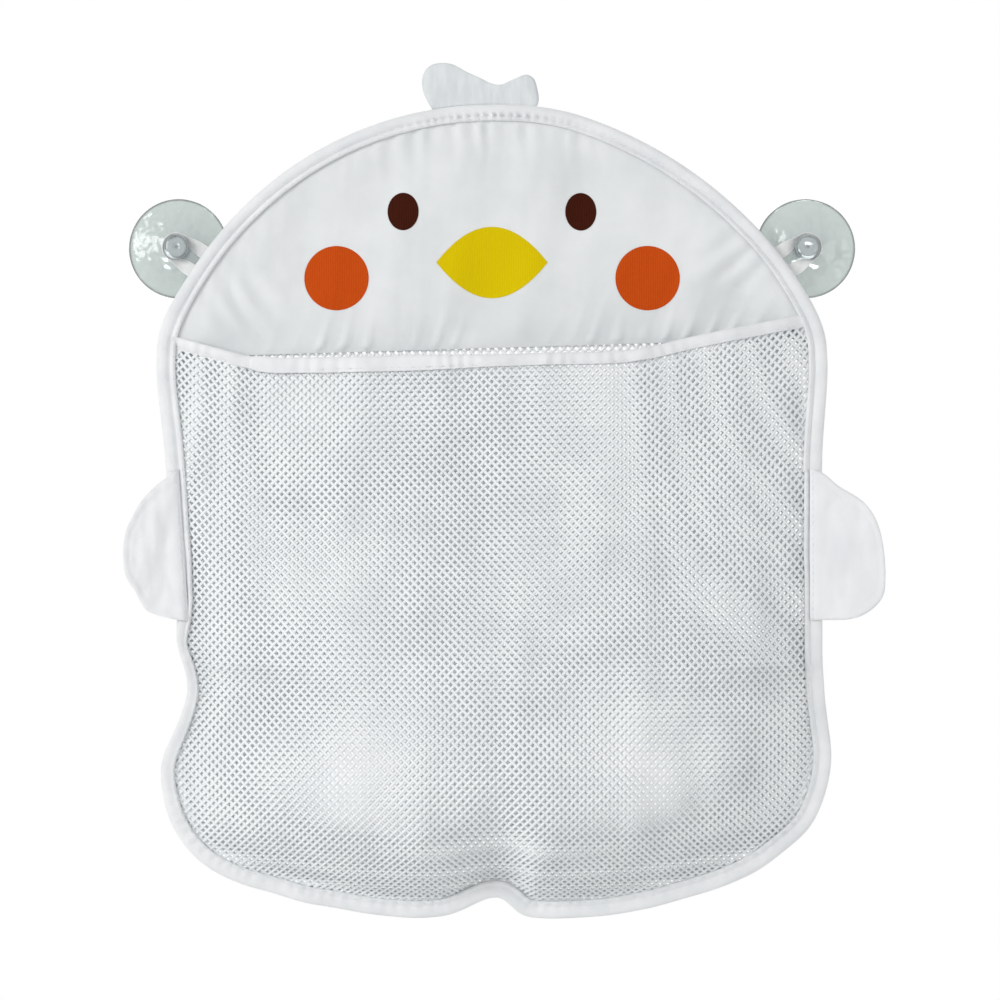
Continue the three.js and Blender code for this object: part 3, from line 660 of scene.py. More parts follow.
brown_ink = print_finish("brown_ink", (0.040, 0.007, 0.003), (0.070, 0.016, 0.008))
orange_ink = print_finish("orange_ink", (0.52, 0.060, 0.004), (0.64, 0.105, 0.014))
yellow_ink = print_finish("yellow_ink", (0.66, 0.49, 0.001), (0.76, 0.60, 0.006))
for side in ("left", "right"):
    eye, cheek = f"{side}_eye_print", f"{side}_cheek_print"
    print_patch(f"{side}_eye_ink", eye, circle(PRINT_SIDES), brown_ink)
    print_patch(f"{side}_cheek_ink", cheek, circle(PRINT_SIDES), orange_ink)
print_patch("beak_ink", "beak_print", pointed_oval(PRINT_SIDES), yellow_ink)

# Upper binding and boning
# White tape folded over the edge of the dome and the upper sides, sewn through near its inner edge.
# It is round like a tube where a springy plastic rod inside it holds the dome in shape.
TAPE_WIDTH = 0.0076
SIDE_TAPE_WIDTH = 0.0086
# Distances from the top along the outline over which the tape widens
SIDES_BEGIN = (0.14, 0.21)
TUBE_HALF_WIDTH = 0.0026
TUBE_HALF_DEPTH = 0.00215
TUBE_END = 140
TUBE_STEPS = 19
ROD_INSET = 0.00215
CHANNEL_RADIUS = 0.00145
CHANNEL_STEPS = 11
GROOVE_HALF = 0.00090
STITCH_LINE = -0.0067
STITCH_RISE = 0.0022
STITCH_ROW_STEP = 0.002
TAPE_STEP = 0.0011
WING_TOP_DROP = 0.065
SPLIT_GAP = 0.00006
TAPE_UNEVEN = [(0.00020, 0.012, 0.004, 6.1), (0.00009, 0.004, 0.002, 9.9)]
TAPE_GATHER_SPACING = 0.0040
TAPE_GATHER_DRIFT = [(2.6, 0.02, 1, 4.4)]
TAPE_GATHER_RUN = 0.040
TAPE_GATHER_DEPTH = 0.00030
TUCK_DEPTH = 0.0015
TUCK_LINE = -0.0049
TUCK_LENGTH = 0.0012
# Front points of the tape's sewn flange, from its lip to the groove beside it
FLANGE = [(-TAPE_WIDTH, 0.00140), (-0.0075, 0.00190), (-0.0070, 0.00226), (-0.0063, 0.00222),
          (-0.0057, 0.00150), (-0.0052, 0.00102)]


def side_distance(z, side):
    """Distance along the outline at which its left (-1) or right (1) side passes a height."""
    heights = outline_loop[:, 1]
    body = (heights < DOME_END_Z) & (heights > DOME_END_Z - WAIST_DROP)
    body &= outline_loop[:, 0] * side > 0
    order = np.argsort(heights[body])
    return float(np.interp(z, heights[body][order], outline_marks[body][order]))


TOP_DISTANCE = side_distance(DOME_END_Z - 0.001, -1) / 2


def upper_width(along):
    """The tape is wider down the sides than over the dome."""
    down = ease(*SIDES_BEGIN, np.abs(along - TOP_DISTANCE))
    return TAPE_WIDTH + (SIDE_TAPE_WIDTH - TAPE_WIDTH) * down


def round_tape_section():
    """Outer points of the round binding from its front lip to its back lip, then those inside it."""
    tube_angles = np.radians(np.linspace(TUBE_END, -TUBE_END, TUBE_STEPS))
    tube = [(TUBE_HALF_WIDTH * (math.cos(a) - 1), TUBE_HALF_DEPTH * math.sin(a)) for a in tube_angles]
    outer = FLANGE + tube + [(u, -v) for u, v in FLANGE[::-1]]
    meet = math.pi - math.asin(GROOVE_HALF / CHANNEL_RADIUS)
    turn = np.linspace(-meet, meet, CHANNEL_STEPS)
    channel = CHANNEL_RADIUS * np.stack([np.cos(turn), np.sin(turn)], -1) - (ROD_INSET, 0)
    inner = [(-TAPE_WIDTH, -GROOVE_HALF), *channel, (-TAPE_WIDTH, GROOVE_HALF)]
    return np.array(outer), np.array(inner)


def tape_finish(name):
    """Soft white binding tape: fine ribs across it, a weave along it, a little greyer here and there."""
    material, tree, shader, place = mottled_finish(
        name, cloth_place, 60, (0.74, 0.76, 0.775), (0.82, 0.83, 0.84), detail=5.0,
        Roughness=0.7, Sheen_Weight=0.35, Sheen_Roughness=0.45)
    ribs = threads(tree, place, 0.00046, "X")
    grain = threads(tree, place, 0.00038, "Y")
    raise_surface(tree, shader, maths(tree, "ADD", ribs, grain), 0.00005)
    return material


def swept_tape(name, rings, along, material):
    """A closed tube of folded tape from rings of points, with its ends closed."""
    steps, count = rings.shape[:2]
    faces = ring_quads(steps, count)
    faces += [list(range(count)), list(range((steps - 1) * count, steps * count))[::-1]]
    places = np.zeros((steps, count, 3))
    places[..., 0] = along[:, None]
    places[..., 1] = lengths_along(rings[0])
    return closed_piece(name, rings.reshape(-1, 3), faces, material, crease=70, places=places)


def swept_section(name, section, along, path, share, lift, material):
    """A section swept along a path. share widens it across its run and lift() swells its outer faces."""
    outer, inner = section
    u, v = np.concatenate([outer, inner]).T
    swell = lift(along[:, None], u[None, :])
    swell[:, len(outer):] = 0
    reach = u * share[:, None]
    rise = v + np.sign(v) * swell
    points, across, forward = (part[:, None] for part in path)
    rings = points + across * reach[..., None] + forward * rise[..., None]
    return swept_tape(name, rings, along, material)


def outline_path(along, inset, sway):
    """Points of the outline amid the bag's thickness, swayed sideways, and the ways out and forward."""
    points, outward = outline_at(along, inset)
    points = points + outward * sway(along)[:, None]
    level = np.zeros(len(along))
    middle = np.stack([points[:, 0], level + BAG_Y, points[:, 1]], -1)
    outward = np.stack([outward[:, 0], level, outward[:, 1]], -1)
    return middle, outward, np.stack([level, level - 1, level], -1)


def tape_round_outline(name, section, start, end, width, lift, sway):
    """Folded tape swept along the outline. width() is its width along its run."""
    along = np.linspace(start, end, int((end - start) / TAPE_STEP) + 1)
    path = outline_path(along, 0.0, sway)
    return swept_section(name, section, along, path, width(along) / TAPE_WIDTH, lift, binding_tape)


def upper_lift(along, u):
    """Small unevenness of the tape, with close gathers and tucks over the middle of the dome."""
    near_top = hump(along, TOP_DISTANCE, TAPE_GATHER_RUN)
    gathers = ripples(along, TAPE_GATHER_SPACING, layered(along, 0 * along, TAPE_GATHER_DRIFT))
    tucks = TUCK_DEPTH * (0.5 + 0.5 * gathers) ** 3 * near_top * hump(u, TUCK_LINE, TUCK_LENGTH)
    gathers = TAPE_GATHER_DEPTH * gathers * (0.12 + near_top) * ease(-0.0030, -0.0062, u)
    return layered(along, u, TAPE_UNEVEN) + gathers + tucks


def no_sway(along):
    return 0 * along


def no_lift(along, u):
    return 0 * along * u


def stitch_tree():
    """Node tree that sews a row of stitches along every line: each is one short bulge of thread."""
    tree, given, curves = line_tree("running_stitches", ["Stitch length", "Stitch gap", "Thread radius"])
    pitch = maths(tree, "ADD", given["Stitch length"], given["Stitch gap"])
    holes = add_node(tree, "GeometryNodeResampleCurve", {
        "Curve": curves, "Length": pitch,
    }, mode="LENGTH")
    half = maths(tree, "MULTIPLY", given["Stitch length"], 0.5)
    size = add_node(tree, "ShaderNodeCombineXYZ", {
        "X": half, "Y": given["Thread radius"], "Z": given["Thread radius"],
    })
    bead = add_node(tree, "GeometryNodeMeshUVSphere", {"Segments": 6, "Rings": 5, "Radius": 1.0})
    tangent = add_node(tree, "GeometryNodeInputTangent")
    turned = add_node(tree, "FunctionNodeAlignRotationToVector", {
        "Vector": tangent.outputs["Tangent"],
    }, axis="X")
    sewn = add_node(tree, "GeometryNodeInstanceOnPoints", {
        "Points": holes.outputs["Curve"], "Instance": bead.outputs["Mesh"],
        "Rotation": turned.outputs["Rotation"], "Scale": size.outputs["Vector"],
    })
    whole = add_node(tree, "GeometryNodeRealizeInstances", {"Geometry": sewn.outputs["Instances"]})
    smooth = add_node(tree, "GeometryNodeSetShadeSmooth", {"Geometry": whole.outputs["Geometry"]})
    give_mesh(tree, given, smooth.outputs["Geometry"])
    return tree


def thread_finish():
    """White sewing thread with its twist."""
    material, tree, shader, place = mottled_finish(
        "sewing_thread", object_place, 900, (0.66, 0.68, 0.70), (0.80, 0.82, 0.83),
        Roughness=0.5, Sheen_Weight=0.3)
    raise_grain(tree, shader, place, scale=4200, distance=0.00006, detail=1.0)
    return material


stitches = stitch_tree()
sewing_thread = thread_finish()
stitch_values = {
    "Stitch length": 0.0024, "Stitch gap": 0.0008, "Thread radius": 0.00019, "Finish": sewing_thread,
}


def sewn_rows(name, rows):
    """Stitches along rows of points, as one mesh."""
    vertices = np.concatenate(rows)
    edges = []
    first = 0
    for row in rows:
        edges += [(first + k, first + k + 1) for k in range(len(row) - 1)]
        first += len(row)
    lines = bpy.data.meshes.new(name)
    lines.from_pydata([tuple(map(float, v)) for v in vertices], edges, [])
    return made_by(stitches, name, lines, stitch_values)


def tape_stitches(name, start, end, width, sway):
    """Rows of stitches along a tape's stitch line, one on its front and one on its back."""
    along = np.linspace(start, end, int((end - start) / STITCH_ROW_STEP) + 1)
    points, _, forward = outline_path(along, -STITCH_LINE * width(along) / TAPE_WIDTH, sway)
    return sewn_rows(name, [points + forward * rise for rise in (STITCH_RISE, -STITCH_RISE)])


binding_tape = tape_finish("binding_tape")
left_split = side_distance(DOME_END_Z - WING_TOP_DROP, -1)
right_split = side_distance(DOME_END_Z - WING_TOP_DROP, 1)
upper_start = right_split - OUTLINE_LENGTH
upper_binding = tape_round_outline(
    "upper_tape", round_tape_section(), upper_start, left_split, upper_width, upper_lift, no_sway)
upper_stitches = tape_stitches("upper_tape_stitches", upper_start, left_split, upper_width, no_sway)
for piece in (upper_binding, upper_stitches):
    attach(piece, "bag")
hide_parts("upper_binding")


def boning_finish():
    """Off-white extruded plastic rod with faint lengthwise draw marks."""
    material, tree, shader, place = mottled_finish(
        "boning_rod", object_place, 80, (0.62, 0.62, 0.59), (0.70, 0.70, 0.67), Roughness=0.45)
    raise_grain(tree, shader, place, scale=1500, distance=0.00004)
    return material


BONING_RADIUS = 0.0011
BONING_END_GAP = 0.0020
BONING_SIDES = 12
BONING_STEPS = 300
rod_along = np.linspace(upper_start + BONING_END_GAP, left_split - BONING_END_GAP, BONING_STEPS)
rod_section = BONING_RADIUS * circle(BONING_SIDES)
rod_path = outline_path(rod_along, ROD_INSET, no_sway)
boning = swept_section(
    "boning_rod", (rod_section, np.zeros((0, 2))), rod_along, rod_path,
    np.ones(BONING_STEPS), no_lift, boning_finish())
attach(boning, "bag")
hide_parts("boning")

# Lower binding
# The same tape folded flat round the lower sides and the bottom, where no rod runs inside it. It
# waves a little because the nets' edges are eased into it, and it turns in at the bottom notch.
FOLD_LINE = -0.0008
# The rest of the tape's front, from the groove beside its flange to its fold
FLAT_FRONT = [(-0.0046, 0.00150), (-0.0034, 0.00190), (-0.0019, 0.00182), (FOLD_LINE, 0.00130),
              (0, 0.00045)]
# Widths of the tape, turned under at the waist, at distances along it from the left wing's top
LOWER_WIDTHS = [(0.0, SIDE_TAPE_WIDTH), (0.058, 0.0080), (0.078, 0.0045), (0.105, 0.0052),
                (0.155, 0.0069), (0.25, 0.0077), (0.45, 0.0081)]
# How flat the flange is pressed, at the same kind of distances
PRESSED = [(0.060, 0.0), (0.080, 1.0), (0.20, 1.0), (0.26, 0.5), (0.50, 0.3), (0.55, 0.0)]
# What pressing does: height, place across the tape and width, for the groove and the stitched ridge
FLANGE_PRESS = [(0.00075, -0.0052, 0.0006), (-0.0003, STITCH_LINE, 0.0006)]
LOWER_UNEVEN = [(0.00026, 0.010, 0.006, 14.2)]
LOWER_WAVES = [(0.0009, 0.022, 1, 27.3)]
PUCKER_SPACING = 0.0056
PUCKER_DRIFT = [(3.4, 0.02, 1, 16.8)]
BOTTOM_BEGINS = (-0.235, -0.265)
PUCKER_DEPTH = 0.00022
CREASE_Z = -0.187
CREASE_HEIGHT = 0.012
DENT_DEPTH = 0.00045


def lower_width(along):
    return np.interp(along - left_split, *zip(*LOWER_WIDTHS))


def folded_section(front, edge, fold, gap):
    """Outer points of folded tape from its front lip to its back lip, then those inside it."""
    outer = front + [(u, -v) for u, v in front[::-1]]
    inner = [(edge, -gap), (fold, -gap), (fold, gap), (edge, gap)]
    return np.array(outer), np.array(inner)


def lower_lift(along, u):
    """Puckers of the flat tape, more along the bottom, and the dents where the bag was once folded."""
    heights = outline_at(along)[0][..., 1]
    along_bottom = 0.35 + ease(*BOTTOM_BEGINS, heights)
    puckers = ripples(along, PUCKER_SPACING, layered(along, 0 * along, PUCKER_DRIFT))
    puckers = PUCKER_DEPTH * puckers * along_bottom * ease(-0.0010, -0.0050, u)
    dent = ease(CREASE_Z, CREASE_Z - 0.002, heights) * ease(-0.0003, -0.0015, u)
    dent = DENT_DEPTH * dent * ease(CREASE_Z - CREASE_HEIGHT, CREASE_Z - 0.006, heights)
    pressed = np.interp(along - left_split, *zip(*PRESSED)) * humps(u, FLANGE_PRESS)
    return layered(along, u, LOWER_UNEVEN) + puckers + pressed - dent


def lower_sway(along):
    """Gentle waves of the lower edge, none at the joins with the upper tape."""
    ends = np.minimum(along - left_split, right_split - along)
    return layered(along, 0 * along, LOWER_WAVES) * ease(0.01, 0.05, ends)


lower_start = left_split + SPLIT_GAP
lower_end = right_split - SPLIT_GAP
flat_tape_section = folded_section(FLANGE + FLAT_FRONT, -TAPE_WIDTH, FOLD_LINE, GROOVE_HALF)
lower_binding = tape_round_outline(
    "lower_tape", flat_tape_section, lower_start, lower_end, lower_width, lower_lift, lower_sway)
lower_stitches = tape_stitches("lower_tape_stitches", lower_start, lower_end, lower_width, lower_sway)
for piece in (lower_binding, lower_stitches):
    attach(piece, "bag")
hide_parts("lower_binding")

# Front net
# The baggy pocket of the same net, longer than the back so that it bellies forward over the bottom.
# Its sides and bottom are caught in the binding; it is made in two halves.
MOUTH_DEPTH = 0.011
BELLY_DEPTH = 0.042
BELLY_SHARE = 0.26
BELLY_ROUNDNESS = 2.2
WIDTH_ROUNDNESS = 2.5
POCKET_INSET = 0.0085
NET_HALF_THICKNESS = 0.00045
POCKET_SLACK = [(0.0026, 0.027, 0.10, 31.4), (0.0013, 0.011, 0.06, 44.6)]
CREASE_WANDER = [(0.004, 0.07, 1, 51.2)]
# The crease's ridge and the hollow below it: height, how far down and width
CREASE_RIDGES = [(0.0020, 0, 0.0035), (-0.0020, CREASE_HEIGHT, 0.0045)]
# Distances from the edge over which the net comes forward, and its slack and its crease begin
NET_LEAVES_EDGE = (0.0072, 0.0150)
SLACK_BEGINS = (0.007, 0.030)
CREASE_BEGINS = (0.006, 0.015)
POCKET_LOWEST_Z = -0.310
POCKET_STEPS = 900
HEM_LINE_STEPS = 24
# The hem's middle line from left to right: X and the drop below the dome's ends
HEM_LINE = [(-0.1445, 0.0065), (-0.1035, 0.0171), (-0.0830, 0.0177), (0.0235, 0.0150), (0.0635, 0.0134),
            (0.0918, 0.0071), (0.1440, -0.0035)]
FRONT_NET_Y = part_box("front_net")[1][1] - NET_HALF_THICKNESS
FRONT_EDGE_Y = BAG_Y - 0.0005
pocket_edge = InsetOutline(POCKET_INSET)
hem_curve = smooth_through(HEM_LINE, HEM_LINE_STEPS, closed=False)


def hem_z(x):
    """Height of the hem's middle line, which sags between its sewn ends."""
    return DOME_END_Z - np.interp(x, hem_curve[:, 0], hem_curve[:, 1])


HEM_LEFT_X = float(pocket_edge.sides(hem_z(HEM_LINE[0][0]))[0])
HEM_RIGHT_X = float(pocket_edge.sides(hem_z(HEM_LINE[-1][0]))[1])


def belly(share):
    """Depth of the pocket up its middle: a steep rise to the belly, then easing back to the mouth."""
    rise = BELLY_DEPTH * (1 - np.clip(1 - share / BELLY_SHARE, 0, 1) ** BELLY_ROUNDNESS)
    back = 0.5 + 0.5 * np.cos(math.pi * np.clip((share - BELLY_SHARE) / (1 - BELLY_SHARE), 0, 1))
    return np.where(share < BELLY_SHARE, rise, MOUTH_DEPTH + (BELLY_DEPTH - MOUTH_DEPTH) * back)


def pocket_y(x, z):
    """Place of the pocket's net from front to back, with its slack folds and one cross crease."""
    left, right = pocket_edge.sides(z)
    across = np.clip((x - left) / (right - left), 0, 1)
    up = np.clip((z - pocket_edge.floor(x)) / (hem_z(x) - pocket_edge.floor(x)), 0, 1)
    spread = 1 - np.abs(2 * across - 1) ** WIDTH_ROUNDNESS
    outer_left, outer_right = net_edge.sides(z)
    from_edge = np.minimum(np.minimum(x - outer_left, outer_right - x), z - net_edge.floor(x))
    base = FRONT_EDGE_Y + (FRONT_NET_Y - FRONT_EDGE_Y) * ease(*NET_LEAVES_EDGE, from_edge)
    slack = layered(x, z, POCKET_SLACK) * ease(*SLACK_BEGINS, from_edge)
    below_crease = CREASE_Z + layered(x, 0 * z, CREASE_WANDER) - z
    near_sides = 0.30 + 0.70 * ease(0.45, 0.85, np.abs(2 * across - 1))
    crease = humps(below_crease, CREASE_RIDGES) * near_sides * ease(*CREASE_BEGINS, from_edge)
    return base - spread * belly(up) - slack - crease


def pocket_rows():
    """Heights of the pocket's net by the length of cloth below the hem, along its middle."""
    heights = np.linspace(hem_z(0.0) + 0.004, POCKET_LOWEST_Z, POCKET_STEPS)
    bottom_z = DOME_END_Z - BODY_STATIONS[-1][2]
    share = np.clip((heights - bottom_z) / (hem_z(0.0) - bottom_z), 0, 1)
    return lengths_along(np.stack([heights, belly(share)], -1)), heights


row_lengths, row_heights = pocket_rows()
HEM_TUCK = 0.0016
ROWS_LEVEL_DEPTH = 0.16


def front_net_place(x, w):
    """Cloth widths and lengths below the hem, turned into points of the baggy net. Its rows follow
    the hem's slope near the mouth and lie level further down."""
    level = np.interp(-w, row_lengths, row_heights)
    z = level + (hem_z(x) - hem_z(0.0)) * ease(ROWS_LEVEL_DEPTH, 0.0, hem_z(0.0) - level)
    kept = net_edge.holds(x, z) & (z < hem_z(x) + HEM_TUCK)
    return np.stack([x, pocket_y(x, z), z], -1), kept


CLOTH_ROWS = (-int(row_lengths[-1] / (HOLE_HEIGHT / 2)), 1)
front_halves = {}
front_yarn = net_yarn_finish("front_net_yarn", (0.75, 0.78, 0.795), (0.82, 0.845, 0.855))
for side, columns in (("left", (-NET_COLUMNS, 1)), ("right", (0, NET_COLUMNS + 1))):
    lines, area = net_lines(f"{side}_front_lines", front_net_place, columns, CLOTH_ROWS)
    half = made_by(yarns, f"knitted_front_net_{side}", lines, yarn_sizes | {"Finish": front_yarn})
    front_halves[side] = half
    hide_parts("front_net")

# Mouth hem
# Tape folded down over the front net's top edge and sewn through. It sags between its two ends, with
# small tucks where the slack has been taken up, and is made in two halves like the net.
HEM_HALF = 0.0031
HEM_STITCH = -0.0019
HEM_STITCH_RISE = 0.0012
HEM_STITCH_STEPS = 80
HEM_STEP = 0.0008
HEM_END_TUCK = 0.0022
HEM_FOLD = 0.0023
HEM_GAP = 0.00085
HEM_REACH = 0.002
# Front points of the hem's section, from its lip to its fold
HEM_FRONT = [(-HEM_HALF, 0.00098), (-0.0029, 0.00128), (-0.0024, 0.00142), (HEM_STITCH, 0.00118),
             (-0.0013, 0.00140), (0.0004, 0.00146), (0.0018, 0.00134), (0.0027, 0.00090),
             (HEM_HALF, 0.00030)]
# Each tuck of the hem: how high, where it is and how wide
HEM_TUCKS = [(0.0010, 0.024, 0.0022), (0.0007, 0.031, 0.0016),
             (0.0012, 0.0665, 0.0024), (0.0005, -0.090, 0.0016)]
HEM_TUCK_LEAN = 0.2
HEM_UNEVEN = [(0.00024, 0.009, 0.004, 71.3)]
WRINKLE_SPACING = 0.0056
WRINKLE_DRIFT = [(3.4, 0.018, 1, 61.7)]
WRINKLE_DEPTH = 0.00026
HEM_OVERLAP_X = -0.1075
HEM_OVERLAP_STEP = 0.0012
HEM_LEAST_WIDTH = 0.90
HEM_EXTRA_WIDTH = 0.26
HEM_TILT = 0.12
HEM_LEFT_TURN = 0.48
HEM_RIGHT_TURN = 0.12


def hem_width(x):
    """The hem's width as a share of its usual one: wider to the right of where it overlaps itself."""
    overlapped = ease(HEM_OVERLAP_X - 0.001, HEM_OVERLAP_X + 0.004, x)
    return HEM_LEAST_WIDTH + HEM_EXTRA_WIDTH * overlapped * ease(0.005, -0.040, x)


def hem_tilt(x):
    """How far the hem's face is turned down at its ends and up in between, in radians."""
    left_end = ease(HEM_OVERLAP_X, HEM_OVERLAP_X - 0.012, x)
    return HEM_TILT - HEM_LEFT_TURN * left_end - HEM_RIGHT_TURN * ease(0.075, 0.100, x)


def hem_lift(x, u):
    """Small upright wrinkles of the hem, its tucks, and the step where it overlaps itself."""
    wrinkles = ripples(x, WRINKLE_SPACING, layered(x, 0 * x, WRINKLE_DRIFT))
    wrinkles = wrinkles * (0.25 + ease(-0.1, 0.4, wander(x, 0 * x, 0.03, 1, 66.1)))
    lift = WRINKLE_DEPTH * wrinkles + layered(x, u, HEM_UNEVEN)
    lift = lift + humps(x - HEM_TUCK_LEAN * u, HEM_TUCKS)
    past_overlap = x - HEM_OVERLAP_X
    step = ease(-0.0008, 0.0008, past_overlap) * np.exp(-np.maximum(past_overlap, 0) / 0.012)
    return lift + HEM_OVERLAP_STEP * step


def hem_path(x):
    """Points of the hem's middle line, and its upward and forward directions there."""
    def at(value):
        return np.stack([value, pocket_y(value, hem_z(value)), hem_z(value)], -1)
    points = at(x)
    tangent = unit(at(x + HEM_REACH) - at(x - HEM_REACH))
    upright = unit(np.array([0.0, 0.0, 1.0]) - tangent * tangent[:, 2:])
    ahead = np.cross(tangent, upright)
    tilt = hem_tilt(x)[:, None]
    upward = np.cos(tilt) * upright - np.sin(tilt) * ahead
    return points, upward, np.cos(tilt) * ahead + np.sin(tilt) * upright


def hem_half(name, start, end):
    """One half of the hem, swept along the mouth."""
    section = folded_section(HEM_FRONT, -HEM_HALF, HEM_FOLD, HEM_GAP)
    x = np.linspace(start, end, int(abs(end - start) / HEM_STEP) + 1)
    return swept_section(name, section, x, hem_path(x), hem_width(x), hem_lift, binding_tape)


def hem_row(start, end, rise):
    """A row of points along the hem for stitches, on its front or its back."""
    x = np.linspace(start, end, HEM_STITCH_STEPS)
    points, upward, forward = hem_path(x)
    return points + upward * HEM_STITCH + forward * rise


for side, edge_x, out in (("left", HEM_LEFT_X, -1), ("right", HEM_RIGHT_X, 1)):
    outer_x = edge_x + out * HEM_END_TUCK
    hem = hem_half(f"hem_tape_{side}", outer_x, 0.0)
    rows = [hem_row(outer_x, 0.0, rise) for rise in (HEM_STITCH_RISE, -HEM_STITCH_RISE)]
    hem_stitches = sewn_rows(f"hem_stitches_{side}", rows)
    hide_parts("mouth_hem")
    for piece in (front_halves[side], hem, hem_stitches):
        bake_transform(piece)

# Wings
# Two flaps of doubled cloth, sewn right sides together and turned out, so the rim is a soft roll over
# its seam allowance. Each is sewn over the binding along its inner edge and stands out from the bag.
# Each rim goes from the top of the root outwards, in shares of the reach and of the half height.
WING_RIMS = {
    "left": [(0, 1), (0.18, 0.90), (0.387, 0.78), (0.638, 0.585), (0.79, 0.40), (0.93, 0.18),
             (1.0, -0.12), (0.985, -0.39), (0.85, -0.60), (0.735, -0.80), (0.655, -0.88),
             (0.20, -0.99), (0, -1)],
    "right": [(0, 1), (0.16, 0.955), (0.386, 0.775), (0.684, 0.59), (0.835, 0.41), (0.92, 0.22),
              (0.985, -0.12), (1.0, -0.42), (0.975, -0.66), (0.88, -0.80), (0.70, -0.93),
              (0.50, -0.985), (0.2, -0.995), (0, -1)],
}
# The centre of the flaps in the same shares, and about how far the rim is from it in shares of the reach
WING_CENTRE = (0.45, -0.10)
WING_RIM_AWAY = 0.6
WING_RIM_STEPS = 10
WING_REACH = {"left": 0.0269, "right": 0.0336}
WING_CURL = {"left": 0.0045, "right": 0.0020}
WING_PUCKER = {"left": 0.0016, "right": 0.0009}
WING_PUCKERS = [(1.0, 0.010, 0.014, 81.5), (0.4, 0.0045, 0.007, 85.1)]
WING_BOTTOM_DROP = 0.132
WING_INSET = 0.0057
WING_RINGS = 26
WING_BACKSET = 0.0030
WING_ROOT_BACKSET = 0.0016
WING_ROOT_SLOPE = 0.0024
WING_OVERLAP = 0.0010
WING_RIM_HALF = 0.00022
WING_PUFF = 0.00055
WING_PUFF_RUN = 0.0035
# The roll along the rim and the dip beside it: height, distance from the rim and width
WING_ROLLS = [(0.00030, 0.0011, 0.0010), (-0.00012, 0.0030, 0.0008)]
WING_ROOT_STEPS = 28
WING_SEAM_STEPS = 40
# The seam of the root: how far out it is, its rise, and its gap to the wing's ends
WING_SEAM = (0.0013, 0.00070, 0.002)
wing_edge = InsetOutline(WING_INSET)
WING_TOP_Z = DOME_END_Z - WING_TOP_DROP + WING_OVERLAP
WING_BOTTOM_Z = DOME_END_Z - WING_BOTTOM_DROP


def wing_flap(side):
    """One wing as a closed flap of two cloths, thin at its rim and gently puffed and puckered."""
    out = -1 if side == "left" else 1
    column = 0 if side == "left" else 1
    top_x, bottom_x = (float(wing_edge.sides(z)[column]) for z in (WING_TOP_Z, WING_BOTTOM_Z))
    half_height = (WING_TOP_Z - WING_BOTTOM_Z) / 2
    middle_z = (WING_TOP_Z + WING_BOTTOM_Z) / 2
    reach = WING_REACH[side]

    def root_x(up):
        return (top_x + bottom_x) / 2 + (top_x - bottom_x) / 2 * up

    root_up = np.linspace(-1, 1, WING_ROOT_STEPS)[1:-1]
    root = np.stack([0 * root_up, root_up], -1)
    rim = np.vstack([smooth_through(WING_RIMS[side], WING_RIM_STEPS, closed=False), root])
    rim = np.stack([root_x(rim[:, 1]) + out * reach * rim[:, 0], middle_z + half_height * rim[:, 1]], -1)
    centre_out, centre_up = WING_CENTRE
    centre = (root_x(0) + out * reach * centre_out, middle_z + half_height * centre_up)

    def middle_y(x, z):
        distance = (x - root_x((z - middle_z) / half_height)) * out
        away = np.clip(distance / reach, 0, 1)
        past_root = ease(0, WING_ROOT_SLOPE, distance)
        backset = WING_ROOT_BACKSET + (WING_BACKSET - WING_ROOT_BACKSET) * past_root
        puckers = WING_PUCKER[side] * layered(x, z, WING_PUCKERS) * ease(0.0, 0.30, away)
        return BAG_Y - backset - WING_CURL[side] * away ** 2 - puckers

    def half_thickness(share):
        from_rim = (1 - share) * reach * WING_RIM_AWAY
        puff = WING_PUFF * (1 - np.exp(-from_rim / WING_PUFF_RUN))
        return WING_RIM_HALF + humps(from_rim, WING_ROLLS) + puff

    flap = disc_shell(
        f"{side}_wing_flap", rim, centre, WING_RINGS, middle_y, half_thickness, wing_cloth, crease=80)
    seam_out, seam_rise, seam_gap = WING_SEAM
    row_z = np.linspace(WING_BOTTOM_Z + seam_gap, WING_TOP_Z - seam_gap, WING_SEAM_STEPS)
    row_x = root_x((row_z - middle_z) / half_height) + out * seam_out
    row = np.stack([row_x, middle_y(row_x, row_z) - seam_rise, row_z], -1)
    seam = sewn_rows(f"{side}_wing_stitches", [row])
    for piece in (flap, seam):
        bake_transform(piece)
    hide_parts(f"{side}_wing")


wing_cloth = woven_cloth_finish("wing_cloth", (0.84, 0.85, 0.87), (0.90, 0.91, 0.92), pitch=0.00046)
for side in ("left", "right"):
    wing_flap(side)

# Tuft
# The crest of two lobes, cut from one piece of stiff pale felt and sewn to the top of the binding.
# Its cut edges are rounded by wear and its brushed fibres run upright. Heights are above the dome.
TUFT_RIM = [(0.0206, 0.0), (0.0211, 0.0027), (0.0203, 0.0077), (0.0188, 0.0119), (0.0155, 0.0137),
            (0.0119, 0.0126), (0.0063, 0.0098), (0.0027, 0.0092), (-0.0001, 0.0097), (-0.0065, 0.0128),
            (-0.0120, 0.0153), (-0.0176, 0.0183), (-0.0230, 0.0190), (-0.0276, 0.0179), (-0.0304, 0.0151),
            (-0.0315, 0.0105), (-0.0306, 0.0050), (-0.0281, 0.0)]
TUFT_HALF = 0.0008
TUFT_RIM_SHARE = 0.25
TUFT_ROUNDNESS = 9
TUFT_RINGS = 16
TUFT_RIM_STEPS = 8
TUFT_LIFT = 0.0002
TUFT_BASE_STEPS = 40
TUFT_WARP = [(0.0011, 0.016, 0.018, 91.2)]


